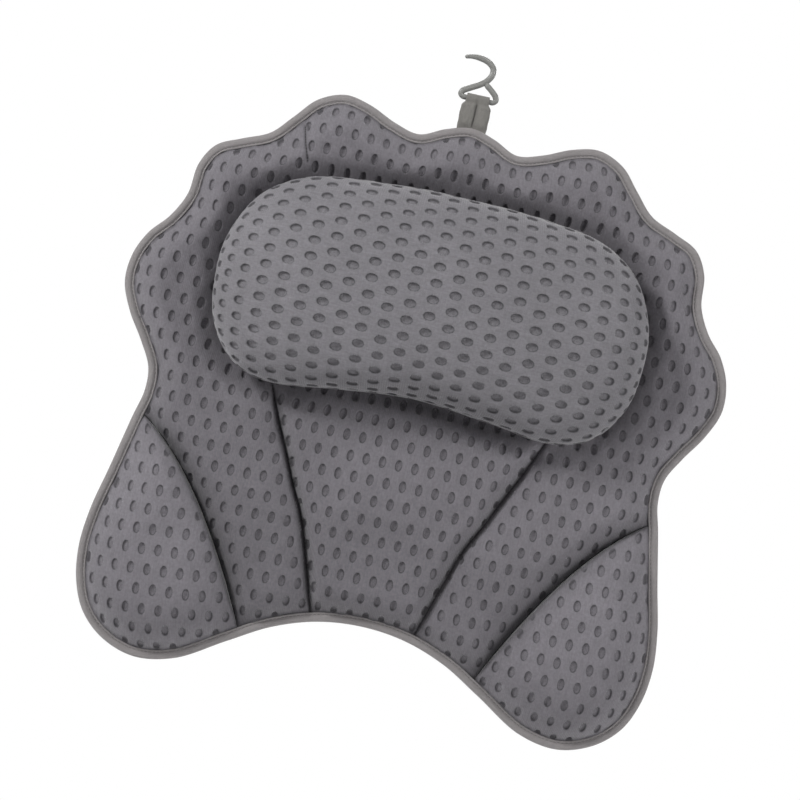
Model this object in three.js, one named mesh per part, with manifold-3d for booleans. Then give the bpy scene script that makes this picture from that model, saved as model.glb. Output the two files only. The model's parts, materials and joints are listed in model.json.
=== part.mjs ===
// A bath pillow: a quilted mat with a scalloped edge and two folding wings, a bean-shaped head cushion,
// six suction cups on its back and a hook in a tape loop at the top.
// Millimetres. Shapes are drawn with X across the mat, Y up it and Z from the wall towards the head.
// The group at the end turns them upright: +Z up, the front facing -Y, and the wall at Y = 0.
import * as THREE from "three";
import { mergeVertices } from "three/addons/utils/BufferGeometryUtils.js";
import Module from "manifold-3d";

const wasm = await Module();
wasm.setup();

// Whole mat
const matWidth = 438;
const matHeight = 426;
const clearance = 0.3; // between pieces that lie on each other
const outlineSteps = 144;
const curveDivisions = 10; // of each step, to space the points along a curve evenly
const crossingSteps = 30; // halvings of a step, to find where a line crosses a loop

// Layers of the mat
const backClothThickness = 1.2;
const coverThickness = 2.4;
const hemThickness = 1.8; // the cover where a seam or the binding presses it
const shellCrown = 13; // how far each padded area stands over its hem
const channelCrown = 17;
const wingCrown = 24;
const edgeReach = 30; // how far from the binding an area reaches its full crown
const seamReach = 26;

// Binding tape round the edge
const bindingWidth = 7;
const bindingThickness = 1;
const hemInset = 2.5; // from the outer edge of the binding to the edge of the cloth in it

// Seams
// A wing folds about the straight line half a bow in from its seam's ends.
const foldBow = 9.5; // how far the middle of a wing's seam bows towards the mat's middle
const foldGap = 1; // from the seam to the cloth on each side of it
const foldRelief = THREE.MathUtils.degToRad(16); // how far each side of the seam is cut back
const threadRadius = 0.4;
const threadSides = 5;
const wadInset = 5; // from a seam or the binding to the wadding

// Spacing of the points on the cloth
const coverSpacing = 15;
const wadStep = 24;
const loopStep = 14;
const nearShare = 1 / 3; // two points on a loop stay this share of its step apart
const clearShare = 0.55; // a point of the grid stays this share of its spacing off the others
const strayShare = 0.02; // and lies this share off its place, which breaks the grid's exact circles
const rowStray = 12.9898;
const columnStray = 78.233;
const deckPick = 3; // under the head cushion only one point in so many is kept, each way

// Head cushion
const cushionWidth = 306;
const cushionHeight = 156;
const cushionCentre = 69; // up the mat
const cushionRise = 62;
const cushionBelly = 20; // height of its widest line over the mat
const cushionTuck = 6; // how far its foot draws in under that line
const cushionFullness = 2.1; // 2 is an ellipse in section, and more is squarer
const cushionSteps = 44;
const deckRise = 5; // the flat that it is sewn to, over the hem
const deckMargin = 1.5;
const deckReach = 20;

// Suction cups
const cupRadius = 27.5;
const cupRimWidth = 3;
const cupRimThickness = 0.9;
const cupWall = 2.4;
const cupSkirtHeight = 8.2;
const cupNeckRadius = 4.5;
const cupNeckLength = 3.6;
const cupHeadRadius = 7.5;
const cupHeadThickness = 2.9;
const cupHeadChamfer = 0.7;
const cupTabWidth = 9;
const cupTabReach = 6;
const cupTabThickness = 1.2;
const cupTabRoot = 2; // how far the tab reaches into the rim
const cupTabSteps = 5; // of its round end
const cupSides = 14;

// Round cloth patches that hold the cups' heads
const patchRadius = 19;
const patchThickness = 1.2;
const patchHoleSlack = 0.7; // round the neck
const patchPocketSlack = 1; // round the head
const patchSlope = 3.7; // width of the slope between its middle and its flat edge

// Tape loop and hook
const loopWidth = 21;
const loopTopWidth = 15;
const loopThickness = 1.2;
const loopRise = 19.4; // from where it is sewn to the hook's bar
const loopNarrowing = 7; // how far under the bar the tape starts to narrow
const loopPocket = 5; // how far under the bar its two strands meet
const loopBendSteps = 8;
const hookWire = 3.4;
const hookWidth = 27; // across the corners of its eye
const hookRise = 29.5; // from its bar to the top of the bend
const hookSlack = 0.45; // round the bar in the loop
const hookJoin = 1; // how far its two halves run into each other
const hookSides = 8;
const hookBendSteps = 36;
const hookArmSteps = 20;

// Levels over the wall
const backLevel = cupSkirtHeight + cupNeckLength + cupHeadThickness + clearance;
const coverLevel = backLevel + backClothThickness + clearance;
const hemLevel = coverLevel + hemThickness;
const deckLevel = hemLevel + deckRise;
const bindingBack = backLevel - clearance - bindingThickness;
const bindingFront = hemLevel + clearance + bindingThickness;
const middleLevel = (bindingBack + bindingFront) / 2;

// Right half of the mat's edge, from the middle of the top to the middle of the arch,
// as shares of half the mat's width and of its height.
const outlineShares = [
  [0, 0.469],
  [0.082, 0.458],
  [0.164, 0.44],
  [0.247, 0.45],
  [0.338, 0.47],
  [0.425, 0.478],
  [0.511, 0.46],
  [0.575, 0.424],
  [0.639, 0.389],
  [0.726, 0.369],
  [0.804, 0.349],
  [0.847, 0.312],
  [0.861, 0.258],
  [0.902, 0.216],
  [0.959, 0.181],
  [0.995, 0.139],
  [1, 0.092],
  [0.963, 0.045],
  [0.906, 0],
  [0.865, -0.04],
  [0.86, -0.08],
  [0.881, -0.127],
  [0.918, -0.218],
  [0.95, -0.293],
  [0.961, -0.357],
  [0.945, -0.416],
  [0.902, -0.465],
  [0.822, -0.502],
  [0.708, -0.521],
  [0.575, -0.509],
  [0.42, -0.462],
  [0.288, -0.423],
  [0.146, -0.398],
  [0, -0.39],
];
// Ends of the right wing's seam and of the right channel's seam, top first, as the same shares.
const foldSeamShares = [
  [0.868, -0.112],
  [0.396, -0.436],
];
const channelSeamShares = [
  [0.461, -0.02],
  [0.17, -0.385],
];
const channelTopShare = 0.005; // where the channels' wadding meets the shell's

// Right half of the cushion's widest line, as shares of half its width and of its height.
const cushionShares = [
  [0, 0.503],
  [0.255, 0.497],
  [0.478, 0.479],
  [0.637, 0.452],
  [0.764, 0.403],
  [0.879, 0.316],
  [0.955, 0.194],
  [0.997, 0.06],
  [1, -0.094],
  [0.978, -0.237],
  [0.917, -0.356],
  [0.828, -0.441],
  [0.7325, -0.481],
  [0.618, -0.496],
  [0.51, -0.489],
  [0.35, -0.469],
  [0, -0.4375],
];
const spineShare = 0.62; // length of the cushion's top ridge against its width
const domeShares = [1, 0.97, 0.9, 0.79, 0.65, 0.48, 0.3, 0.12]; // its rings, from the belly to the ridge
const skirtShares = [0, 0.45]; // its rings under the belly, as shares of the belly's height

// Centres of the right-hand cups, as shares of half the mat's width and of its height.
// They balance about the origin.
const cupShares = {
  upper: [0.402, 0.305],
  middle: [0.685, -0.005],
  lower: [0.192, -0.3],
};

// The hook's wire, seen from the front, as shares of half its width and of its rise over the bar.
const hookBendShares = [
  [-1.22, 0.96],
  [-0.74, 1],
  [-0.26, 0.995],
  [0.13, 0.92],
  [0.3, 0.78],
  [0.22, 0.61],
  [-0.04, 0.45],
  [-0.5, 0.285],
  [-0.84, 0.145],
  [-0.92, 0.05],
  [-0.8, 0],
  [-0.68, 0],
  [-0.4, 0],
  [0, 0],
];
const hookArmShares = [
  [0, 0],
  [0.35, 0],
  [0.62, 0],
  [0.72, 0],
  [0.83, 0.05],
  [0.76, 0.145],
  [0.48, 0.265],
  [0.02, 0.43],
];

const mesh = (color, roughness) => new THREE.MeshStandardMaterial({ color, roughness });
const materials = {
  cover: mesh(0x77757a, 0.95),
  cushion: mesh(0x858388, 0.95),
  backCloth: mesh(0x6b696e, 0.95),
  wadding: mesh(0xe9e7e2, 1),
  binding: mesh(0x88847f, 0.9),
  thread: mesh(0x4e4c50, 0.9),
  loop: mesh(0x807d79, 0.9),
  hook: mesh(0x86847f, 0.45),
  cup: mesh(0xb9c0c2, 0.2),
};

// Curves and loops
const clamp = THREE.MathUtils.clamp;
const lerp = THREE.MathUtils.lerp;

// A closed loop of points through a half outline and its mirror image.
function mirroredLoop(half, steps) {
  const right = half.map(([x, y]) => new THREE.Vector3(x, y, 0));
  const left = right.slice(1, -1).reverse().map((p) => new THREE.Vector3(-p.x, p.y, 0));
  const curve = new THREE.CatmullRomCurve3([...right, ...left], true, "centripetal");
  curve.arcLengthDivisions = steps * curveDivisions;
  return curve.getSpacedPoints(steps).slice(0, -1).map((p) => [p.x, p.y]);
}

// The loop drawn in towards its own middle by a distance, for a loop that runs clockwise.
function insetLoop(loop, distance) {
  return loop.map(([x, y], i) => {
    const before = loop.at(i - 1);
    const after = loop[(i + 1) % loop.length];
    const dx = after[0] - before[0];
    const dy = after[1] - before[1];
    const length = Math.hypot(dx, dy);
    return [x + (dy / length) * distance, y - (dx / length) * distance];
  });
}

// An open line moved sideways, to the right of the way it runs.
function offsetLine(line, distance) {
  return line.map(([x, y], i) => {
    const before = line[Math.max(i - 1, 0)];
    const after = line[Math.min(i + 1, line.length - 1)];
    const dx = after[0] - before[0];
    const dy = after[1] - before[1];
    const length = Math.hypot(dx, dy);
    return [x + (dy / length) * distance, y - (dx / length) * distance];
  });
}

// Distance from a point to a line of points, and on which side of it the point lies.
function nearest(line, x, y, closed) {
  let best = Infinity;
  let side = 0;
  const last = closed ? line.length : line.length - 1;
  for (let i = 0; i < last; i++) {
    const [ax, ay] = line[i];
    const [bx, by] = line[(i + 1) % line.length];
    const dx = bx - ax;
    const dy = by - ay;
    const t = clamp(((x - ax) * dx + (y - ay) * dy) / (dx * dx + dy * dy), 0, 1);
    const far = Math.hypot(x - ax - t * dx, y - ay - t * dy);
    if (far < best) {
      best = far;
      side = Math.sign((x - ax) * dy - (y - ay) * dx);
    }
  }
  return { far: best, side };
}

function inside(loop, x, y) {
  let odd = false;
  loop.forEach(([ax, ay], i) => {
    const [bx, by] = loop.at(i - 1);
    if (ay > y !== by > y && x < ((bx - ax) * (y - ay)) / (by - ay) + ax) odd = !odd;
  });
  return odd;
}

// The part of a loop on the side of a straight line that its normal points to.
function clipLoop(loop, [px, py], [nx, ny]) {
  const height = ([x, y]) => (x - px) * nx + (y - py) * ny;
  const kept = [];
  loop.forEach((a, i) => {
    const b = loop[(i + 1) % loop.length];
    const ha = height(a);
    const hb = height(b);
    if (ha >= 0) kept.push(a);
    if (ha >= 0 !== hb >= 0) {
      const t = ha / (ha - hb);
      kept.push([lerp(a[0], b[0], t), lerp(a[1], b[1], t)]);
    }
  });
  return kept;
}

// The loop again, with no side longer than a step and no two points much closer than one.
function evenLoop(loop, step) {
  const points = [];
  loop.forEach((a, i) => {
    const b = loop[(i + 1) % loop.length];
    const parts = Math.ceil(Math.hypot(b[0] - a[0], b[1] - a[1]) / step);
    for (let k = 0; k < parts; k++) points.push([lerp(a[0], b[0], k / parts), lerp(a[1], b[1], k / parts)]);
  });
  const apart = (i) => Math.hypot(points[i][0] - points[i - 1][0], points[i][1] - points[i - 1][1]);
  return points.filter((_, i) => i === 0 || apart(i) > step * nearShare);
}

const mirrorLine = (line) => line.map(([x, y]) => [-x, y]);
const onMat = ([x, y]) => [(x * matWidth) / 2, y * matHeight];

const outline = mirroredLoop(outlineShares.map(onMat), outlineSteps);

// The right wing's seam, from its top end to its bottom end, bowed towards the middle of the mat.
function bowedSeam() {
  const [top, bottom] = foldSeamShares.map(onMat);
  const dx = bottom[0] - top[0];
  const dy = bottom[1] - top[1];
  const length = Math.hypot(dx, dy);
  const control = new THREE.Vector2(
    (top[0] + bottom[0]) / 2 + (dy / length) * 2 * foldBow,
    (top[1] + bottom[1]) / 2 - (dx / length) * 2 * foldBow,
  );
  const ends = [top, bottom].map(([x, y]) => new THREE.Vector2(x, y));
  const curve = new THREE.QuadraticBezierCurve(ends[0], control, ends[1]);
  return curve.getSpacedPoints(Math.round(length / loopStep)).map((p) => [p.x, p.y]);
}

// The same line run on straight at both ends, past the binding.
function runOn(line, distance) {
  const past = ([ax, ay], [bx, by]) => {
    const length = Math.hypot(bx - ax, by - ay);
    return [bx + ((bx - ax) / length) * distance, by + ((by - ay) / length) * distance];
  };
  return [past(line[1], line[0]), ...line, past(line.at(-2), line.at(-1))];
}

const foldSeam = bowedSeam();
const foldCut = runOn(foldSeam, 3 * bindingWidth);
const channelSeam = channelSeamShares.map(onMat);

// How far a point lies on a wing's side of its seam: negative on the mat's side.
function intoWing(x, y) {
  const { far, side } = nearest(foldCut, Math.abs(x), y, false);
  return y < foldCut[0][1] ? -side * far : -far;
}

// The part of a line inside a loop, with the two points where it crosses the loop.
function lineInside(line, loop) {
  const crossing = (within, beyond) => {
    let [near, far] = [0, 1];
    const at = (t) => [lerp(within[0], beyond[0], t), lerp(within[1], beyond[1], t)];
    for (let i = 0; i < crossingSteps; i++) {
      const t = (near + far) / 2;
      if (inside(loop, ...at(t))) near = t;
      else far = t;
    }
    return at(near);
  };
  const first = line.findIndex((p) => inside(loop, ...p));
  const last = line.findLastIndex((p) => inside(loop, ...p));
  const kept = line.slice(first, last + 1);
  return [crossing(line[first], line[first - 1]), ...kept, crossing(line[last], line[last + 1])];
}

// The part of a loop for which a test holds, as one run of points, where the test fails somewhere.
function runOf(loop, test) {
  const start = loop.findIndex((p, i) => test(p) && !test(loop.at(i - 1)));
  const turned = [...loop.slice(start), ...loop.slice(0, start)];
  return turned.slice(0, turned.findIndex((p) => !test(p)));
}

// Loop of the mat between the wings' seams, drawn in from the edge and from the seams.
function matLoop(edgeInset, seamInset) {
  const edge = insetLoop(outline, edgeInset);
  const seam = lineInside(offsetLine(foldCut, seamInset), edge);
  const high = foldSeam.at(-1)[1] / 2 + foldSeam[0][1] / 2;
  const scallops = runOf(edge, (p) => intoWing(...p) < -seamInset && p[1] > high);
  const arch = runOf(edge, (p) => intoWing(...p) < -seamInset && p[1] <= high);
  return [...scallops, ...seam, ...arch, ...mirrorLine(seam).reverse()];
}

// Loop of the right wing, drawn in from the edge and from the seam.
function wingLoop(edgeInset, seamInset) {
  const edge = insetLoop(outline, edgeInset);
  const outer = runOf(edge, (p) => p[0] > 0 && intoWing(...p) > seamInset);
  return [...outer, ...lineInside(offsetLine(foldCut, -seamInset), edge).reverse()];
}

// The cushion's widest line, drawn in by a distance.
function cushionLoop(distance) {
  const half = cushionShares.map(([x, y]) => [(x * cushionWidth) / 2, cushionCentre + y * cushionHeight]);
  return insetLoop(mirroredLoop(half, cushionSteps), distance);
}

// Solids
// A geometry from points and triangles, turned to face out if it faces in.
function closedGeometry(points, triangles) {
  const volume = triangles.reduce((sum, corners) => {
    const [p, q, r] = corners.map((i) => new THREE.Vector3(...points[i]));
    return sum + p.dot(q.cross(r));
  }, 0);
  const faces = volume < 0 ? triangles.map(([a, b, c]) => [a, c, b]) : triangles;
  const geometry = new THREE.BufferGeometry();
  geometry.setAttribute("position", new THREE.Float32BufferAttribute(points.flat(), 3));
  geometry.setIndex(faces.flat());
  geometry.computeVertexNormals();
  return geometry;
}

function solidOf(geometry) {
  const bare = geometry.clone();
  bare.deleteAttribute("normal");
  bare.deleteAttribute("uv");
  const merged = mergeVertices(bare);
  const { Manifold, Mesh } = wasm;
  return new Manifold(
    new Mesh({
      numProp: 3,
      vertProperties: merged.attributes.position.array,
      triVerts: new Uint32Array(merged.index.array),
    }),
  );
}

function geometryOf(solid) {
  const { vertProperties, triVerts } = solid.getMesh();
  const geometry = new THREE.BufferGeometry();
  geometry.setAttribute("position", new THREE.BufferAttribute(vertProperties, 3));
  geometry.setIndex(new THREE.BufferAttribute(triVerts, 1));
  geometry.computeVertexNormals();
  return geometry;
}

// Triangles of a set of points, by adding them one at a time (Bowyer and Watson's method).
function triangulate(points) {
  const far = 100 * (matWidth + matHeight);
  const all = [...points, [-far, -far], [far, -far], [0, far]];
  const circled = (a, b, c) => {
    const [ax, ay] = all[a];
    const bx = all[b][0] - ax;
    const by = all[b][1] - ay;
    const cx = all[c][0] - ax;
    const cy = all[c][1] - ay;
    const d = 2 * (bx * cy - by * cx);
    const ux = (cy * (bx * bx + by * by) - by * (cx * cx + cy * cy)) / d;
    const uy = (bx * (cx * cx + cy * cy) - cx * (bx * bx + by * by)) / d;
    return { corners: [a, b, c], x: ax + ux, y: ay + uy, square: ux * ux + uy * uy };
  };
  const count = points.length;
  let triangles = [circled(count, count + 1, count + 2)];
  points.forEach(([x, y], i) => {
    const rim = new Map();
    const kept = [];
    for (const t of triangles) {
      if ((x - t.x) ** 2 + (y - t.y) ** 2 >= t.square) {
        kept.push(t);
        continue;
      }
      t.corners.forEach((a, k) => {
        const b = t.corners[(k + 1) % 3];
        const key = Math.min(a, b) + "/" + Math.max(a, b);
        if (!rim.delete(key)) rim.set(key, [a, b]);
      });
    }
    triangles = [...kept, ...[...rim.values()].map(([a, b]) => circled(a, b, i))];
  });
  return triangles.map((t) => t.corners).filter((t) => Math.max(...t) < count);
}

// Points of a triangular grid in a loop, clear of its edge and of the points already placed.
function gridIn(loop, spacing, placed, wanted) {
  const xs = loop.map((p) => p[0]);
  const ys = loop.map((p) => p[1]);
  const rowHeight = (spacing * Math.sqrt(3)) / 2;
  const rows = Math.ceil((Math.max(...ys) - Math.min(...ys)) / rowHeight);
  const columns = Math.ceil((Math.max(...xs) - Math.min(...xs)) / spacing) + 1;
  const clear = spacing * clearShare;
  const found = [];
  for (let row = 0; row <= rows; row++) {
    for (let column = 0; column <= columns; column++) {
      const stray = Math.sin(row * rowStray + column * columnStray) * spacing * strayShare;
      const x = Math.min(...xs) + (column + (row % 2) / 2) * spacing + stray;
      const y = Math.min(...ys) + row * rowHeight - stray;
      if (!inside(loop, x, y) || !wanted(x, y, row, column)) continue;
      if (nearest(loop, x, y, true).far < clear) continue;
      if (placed.every(([px, py]) => Math.hypot(px - x, py - y) > clear)) found.push([x, y]);
    }
  }
  return found;
}

// Triangles over a loop and the points in it, all turned the same way.
function planOf(loop, within) {
  const plan = [...loop, ...within];
  const area = ([a, b, c]) => THREE.ShapeUtils.area([a, b, c].map((i) => new THREE.Vector2(...plan[i])));
  const triangles = triangulate(plan)
    .filter((t) => {
      const [x, y] = [0, 1].map((k) => (plan[t[0]][k] + plan[t[1]][k] + plan[t[2]][k]) / 3);
      return inside(loop, x, y) && Math.abs(area(t)) > clearance * clearance;
    })
    .map(([a, b, c]) => (area([a, b, c]) > 0 ? [a, b, c] : [a, c, b]));
  return { plan, triangles };
}

// A solid over a plan, between two heights that vary over it.
function layer({ plan, triangles }, front, back) {
  const used = new Set(triangles.flatMap(([a, b, c]) => [a + "/" + b, b + "/" + c, c + "/" + a]));
  const count = plan.length;
  const faces = [];
  for (const [a, b, c] of triangles) {
    faces.push([a, b, c], [a + count, c + count, b + count]);
    for (const [p, q] of [
      [a, b],
      [b, c],
      [c, a],
    ]) {
      if (!used.has(q + "/" + p)) faces.push([p, p + count, q + count], [p, q + count, q]);
    }
  }
  const points = [...plan.map(([x, y]) => [x, y, front(x, y)]), ...plan.map(([x, y]) => [x, y, back(x, y)])];
  return closedGeometry(points, faces);
}

function plate(loop, depth, level) {
  const shape = new THREE.Shape(loop.map(([x, y]) => new THREE.Vector2(x, y)));
  return new THREE.ExtrudeGeometry(shape, { depth, bevelEnabled: false }).translate(0, 0, level);
}

// A solid through rings of points, capped at both ends, or closed on itself where it is a ring of rings.
function lofted(rings, joined) {
  const count = rings[0].length;
  const triangles = [];
  const last = joined ? rings.length : rings.length - 1;
  for (let r = 0; r < last; r++) {
    const here = r * count;
    const there = ((r + 1) % rings.length) * count;
    for (let i = 0; i < count; i++) {
      const j = (i + 1) % count;
      triangles.push([here + i, here + j, there + j], [here + i, there + j, there + i]);
    }
  }
  if (!joined) {
    const cap = (ring, start, along) => {
      const flat = ring.map(([x, y]) => new THREE.Vector2(x, y));
      const way = THREE.ShapeUtils.area(flat);
      for (const [a, b, c] of THREE.ShapeUtils.triangulateShape(flat, [])) {
        const same = THREE.ShapeUtils.area([flat[a], flat[b], flat[c]]) * way > 0;
        const corners = same === along ? [a, b, c] : [a, c, b];
        triangles.push(corners.map((i) => start + i));
      }
    };
    cap(rings[0], 0, false);
    cap(rings.at(-1), (rings.length - 1) * count, true);
  }
  return closedGeometry(rings.flat(), triangles);
}

// A round tube along a curve.
function tube(curve, radius, sides, steps) {
  const section = new THREE.Shape();
  for (let i = 0; i < sides; i++) {
    const angle = ((i + 0.5) * 2 * Math.PI) / sides;
    const corner = [radius * Math.cos(angle), radius * Math.sin(angle)];
    if (i) section.lineTo(...corner);
    else section.moveTo(...corner);
  }
  return new THREE.ExtrudeGeometry(section, { steps, extrudePath: curve, curveSegments: 1 });
}

function turned(profile, sides) {
  const geometry = new THREE.LatheGeometry(profile.map(([r, z]) => new THREE.Vector2(r, z)), sides);
  return geometry.rotateX(Math.PI / 2);
}

// The mat's surface
const rise = (far, reach) => 1 - (1 - clamp(far / reach, 0, 1)) ** 2;
const channelLines = [channelSeam, mirrorLine(channelSeam)];
const cushionFoot = cushionLoop(cushionTuck);
const deck = cushionLoop(cushionTuck - deckMargin);

// Height of the mat's front face over the wall.
function frontHeight(x, y) {
  const edge = nearest(outline, x, y, true).far - bindingWidth - clearance;
  const wing = intoWing(x, y);
  const channel = Math.min(...channelLines.map((line) => nearest(line, x, y, false).far));
  const down = clamp((cushionCentre - y) / cushionHeight, 0, 1);
  const crown = wing > 0 ? wingCrown : lerp(shellCrown, channelCrown, down);
  const seam = Math.abs(wing) - foldGap;
  const puffed = hemLevel + crown * rise(edge, edgeReach) * rise(seam, seamReach) * rise(channel, seamReach);
  const away = inside(deck, x, y) ? 0 : nearest(deck, x, y, true).far;
  return deckLevel + (puffed - deckLevel) * rise(away, deckReach);
}

const underCover = (x, y) => Math.max(coverLevel, frontHeight(x, y) - coverThickness);
const wadTop = (x, y) => underCover(x, y) - clearance;
const wadFloor = () => coverLevel - clearance - backClothThickness;

// Pieces of the mat
// A plan of a cover: its loop, the points along the binding's lip and the guides, and a grid between them.
function coverPlan(loop, guides, wanted) {
  const edge = evenLoop(loop, loopStep);
  const lip = insetLoop(outline, bindingWidth + clearance);
  const clear = (line, [x, y]) => nearest(line, x, y, true).far > bindingWidth / 2;
  const within = lip.filter((p) => inside(edge, ...p) && clear(edge, p));
  const placed = [...within, ...guides.filter((p) => inside(lip, ...p) && clear(lip, p))];
  return planOf(edge, [...placed, ...gridIn(edge, coverSpacing, placed, wanted)]);
}

// Points along the right channel's seam, where it shows.
function channelPoints() {
  const lip = insetLoop(outline, bindingWidth + clearance);
  const [top, bottom] = channelSeam;
  const parts = Math.round(Math.hypot(top[0] - bottom[0], top[1] - bottom[1]) / loopStep);
  const shows = ([x, y]) => {
    const clear = (loop) => nearest(loop, x, y, true).far > bindingWidth / 2;
    return inside(lip, x, y) && !inside(deck, x, y) && clear(lip) && clear(deck);
  };
  const at = (i) => [lerp(top[0], bottom[0], i / parts), lerp(top[1], bottom[1], i / parts)];
  return Array.from({ length: parts + 1 }, (_, i) => at(i)).filter(shows);
}

function matPlan() {
  const along = channelPoints();
  const picked = (row, column) => row % deckPick === 0 && column % deckPick === 0;
  const sparse = (x, y, row, column) => !inside(deck, x, y) || picked(row, column);
  return coverPlan(matLoop(hemInset, foldGap), [...along, ...mirrorLine(along), ...deck], sparse);
}

function wingPlan() {
  return coverPlan(wingLoop(hemInset, foldGap), [], () => true);
}

// Wadding over a loop, up to the underside of the cover that has this plan.
function wad(loop, plan) {
  const room = solidOf(layer(plan, wadTop, wadFloor));
  const depth = 2 * (wingCrown + coverThickness + hemThickness);
  return geometryOf(room.intersect(solidOf(plate(evenLoop(loop, wadStep), depth, coverLevel))));
}

// The mat's wadding in four: round the cushion above a level line, and in the channels under it.
function matWads(plan) {
  const split = channelTopShare * matHeight;
  const whole = matLoop(bindingWidth + wadInset, wadInset);
  const [top, bottom] = channelSeam;
  const length = Math.hypot(top[0] - bottom[0], top[1] - bottom[1]);
  const across = [(top[1] - bottom[1]) / length, (bottom[0] - top[0]) / length];
  const beside = (distance) => [top[0] + across[0] * distance, top[1] + across[1] * distance];
  const below = clipLoop(whole, [0, split - clearance], [0, -1]);
  const inner = beside(-wadInset);
  const outer = beside(wadInset);
  const leftOf = clipLoop(below, inner, [-across[0], -across[1]]);
  return {
    shell: wad(clipLoop(whole, [0, split + clearance], [0, 1]), plan),
    centre: wad(clipLoop(leftOf, [-inner[0], inner[1]], [across[0], -across[1]]), plan),
    right: wad(clipLoop(below, outer, across), plan),
    left: wad(clipLoop(below, [-outer[0], outer[1]], [-across[0], across[1]]), plan),
  };
}

// A cutter along a wing's seam, narrow in the middle of the layers and wider at both faces.
function foldCutter() {
  const half = (bindingFront - bindingBack) / 2 + bindingThickness;
  const wide = foldGap + half * Math.tan(foldRelief);
  const section = [
    [-wide, middleLevel - half],
    [-foldGap, middleLevel],
    [-wide, middleLevel + half],
    [wide, middleLevel + half],
    [foldGap, middleLevel],
    [wide, middleLevel - half],
  ];
  const sides = section.map(([side, z]) => offsetLine(foldCut, side).map(([x, y]) => [x, y, z]));
  return solidOf(ringsCapped(foldCut.map((_, i) => sides.map((line) => line[i]))));
}

// A loft whose end rings stand up, and so are capped by hand as hourglasses.
function ringsCapped(rings) {
  const count = rings[0].length;
  const triangles = [];
  for (let r = 0; r < rings.length - 1; r++) {
    for (let i = 0; i < count; i++) {
      const j = (i + 1) % count;
      const here = r * count;
      const there = here + count;
      triangles.push([here + i, here + j, there + j], [here + i, there + j, there + i]);
    }
  }
  const end = (rings.length - 1) * count;
  for (const [a, b, c] of [
    [0, 1, 4],
    [0, 4, 5],
    [1, 2, 3],
    [1, 3, 4],
  ]) {
    triangles.push([a, c, b], [end + a, end + b, end + c]);
  }
  return closedGeometry(rings.flat(), triangles);
}

// Cuts a solid along both wings' seams and gives the pieces by where their middles lie.
function cutAtFolds(geometry) {
  const right = foldCutter();
  const left = right.mirror([1, 0, 0]);
  const seamMiddle = foldSeam[Math.floor(foldSeam.length / 2)];
  const pieces = solidOf(geometry).subtract(right).subtract(left).decompose();
  const found = {};
  for (const piece of pieces) {
    const { min, max } = piece.boundingBox();
    const x = (min[0] + max[0]) / 2;
    const top = max[1];
    const side = x > 0 ? "right" : "left";
    if (Math.abs(x) > seamMiddle[0]) found[side] = geometryOf(piece);
    else if (top > 0) found.upper = geometryOf(piece);
    else found.arch = geometryOf(piece);
  }
  return found;
}

function backCloth() {
  return cutAtFolds(plate(insetLoop(outline, hemInset), backClothThickness, backLevel));
}

// Folded tape over the mat's edge, open towards the middle.
function binding() {
  const outer = outline;
  const slot = insetLoop(outline, bindingThickness);
  const lip = insetLoop(outline, bindingWidth);
  const at = (loop, i, z) => [...loop[i], z];
  const rings = outline.map((_, i) => [
    at(lip, i, bindingBack),
    at(outer, i, bindingBack),
    at(outer, i, bindingFront),
    at(lip, i, bindingFront),
    at(lip, i, bindingFront - bindingThickness),
    at(slot, i, bindingFront - bindingThickness),
    at(slot, i, bindingBack + bindingThickness),
    at(lip, i, bindingBack + bindingThickness),
  ]);
  return cutAtFolds(lofted(rings, true));
}

// Thread along the right wing's seam, between the layers.
function foldThread() {
  const lip = insetLoop(outline, bindingWidth);
  const shown = foldSeam.filter((p) => inside(lip, ...p));
  const line = shown.map(([x, y]) => new THREE.Vector3(x, y, middleLevel));
  return tube(new THREE.CatmullRomCurve3(line), threadRadius, threadSides, line.length);
}

// Thread along the right channel's seam, in its groove.
function channelThread() {
  const lift = clearance + threadRadius;
  const line = channelPoints().map(([x, y]) => new THREE.Vector3(x, y, frontHeight(x, y) + lift));
  return tube(new THREE.CatmullRomCurve3(line), threadRadius, threadSides, line.length - 1);
}

// Head cushion
// Rings of the cushion's surface, from its foot to its ridge, drawn in by a distance.
function cushionRings(inset, foot) {
  const belly = cushionLoop(inset);
  const middle = belly.map(([x]) => {
    const level = (top) => {
      const near = belly.filter((p) => (top ? p[1] > cushionCentre : p[1] <= cushionCentre));
      const off = (p) => Math.abs(p[0] - x * spineShare);
      return near.reduce((a, b) => (off(b) < off(a) ? b : a))[1];
    };
    return [x * spineShare, (level(true) + level(false)) / 2];
  });
  const bellyLevel = deckLevel + cushionBelly;
  const top = deckLevel + cushionRise - inset;
  const tuck = (share) => cushionTuck * (1 - Math.sin((share * Math.PI) / 2));
  const skirt = skirtShares.map((share) =>
    insetLoop(belly, tuck(share)).map(([x, y]) => [x, y, lerp(foot, bellyLevel, share)]),
  );
  const dome = domeShares.map((share) =>
    belly.map(([x, y], i) => {
      const height = (1 - share ** cushionFullness) ** (1 / cushionFullness);
      return [lerp(middle[i][0], x, share), lerp(middle[i][1], y, share), lerp(bellyLevel, top, height)];
    }),
  );
  return [...skirt, ...dome];
}

function cushionCover() {
  const foot = deckLevel + clearance;
  const shell = solidOf(lofted(cushionRings(0, foot), false));
  const hollow = solidOf(lofted(cushionRings(coverThickness, foot - clearance), false));
  return geometryOf(shell.subtract(hollow));
}

function cushionBase() {
  return plate(insetLoop(cushionFoot, coverThickness + clearance), backClothThickness, deckLevel + clearance);
}

function cushionWad() {
  const foot = deckLevel + clearance + backClothThickness + clearance;
  return lofted(cushionRings(coverThickness + clearance, foot), false);
}

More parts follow.
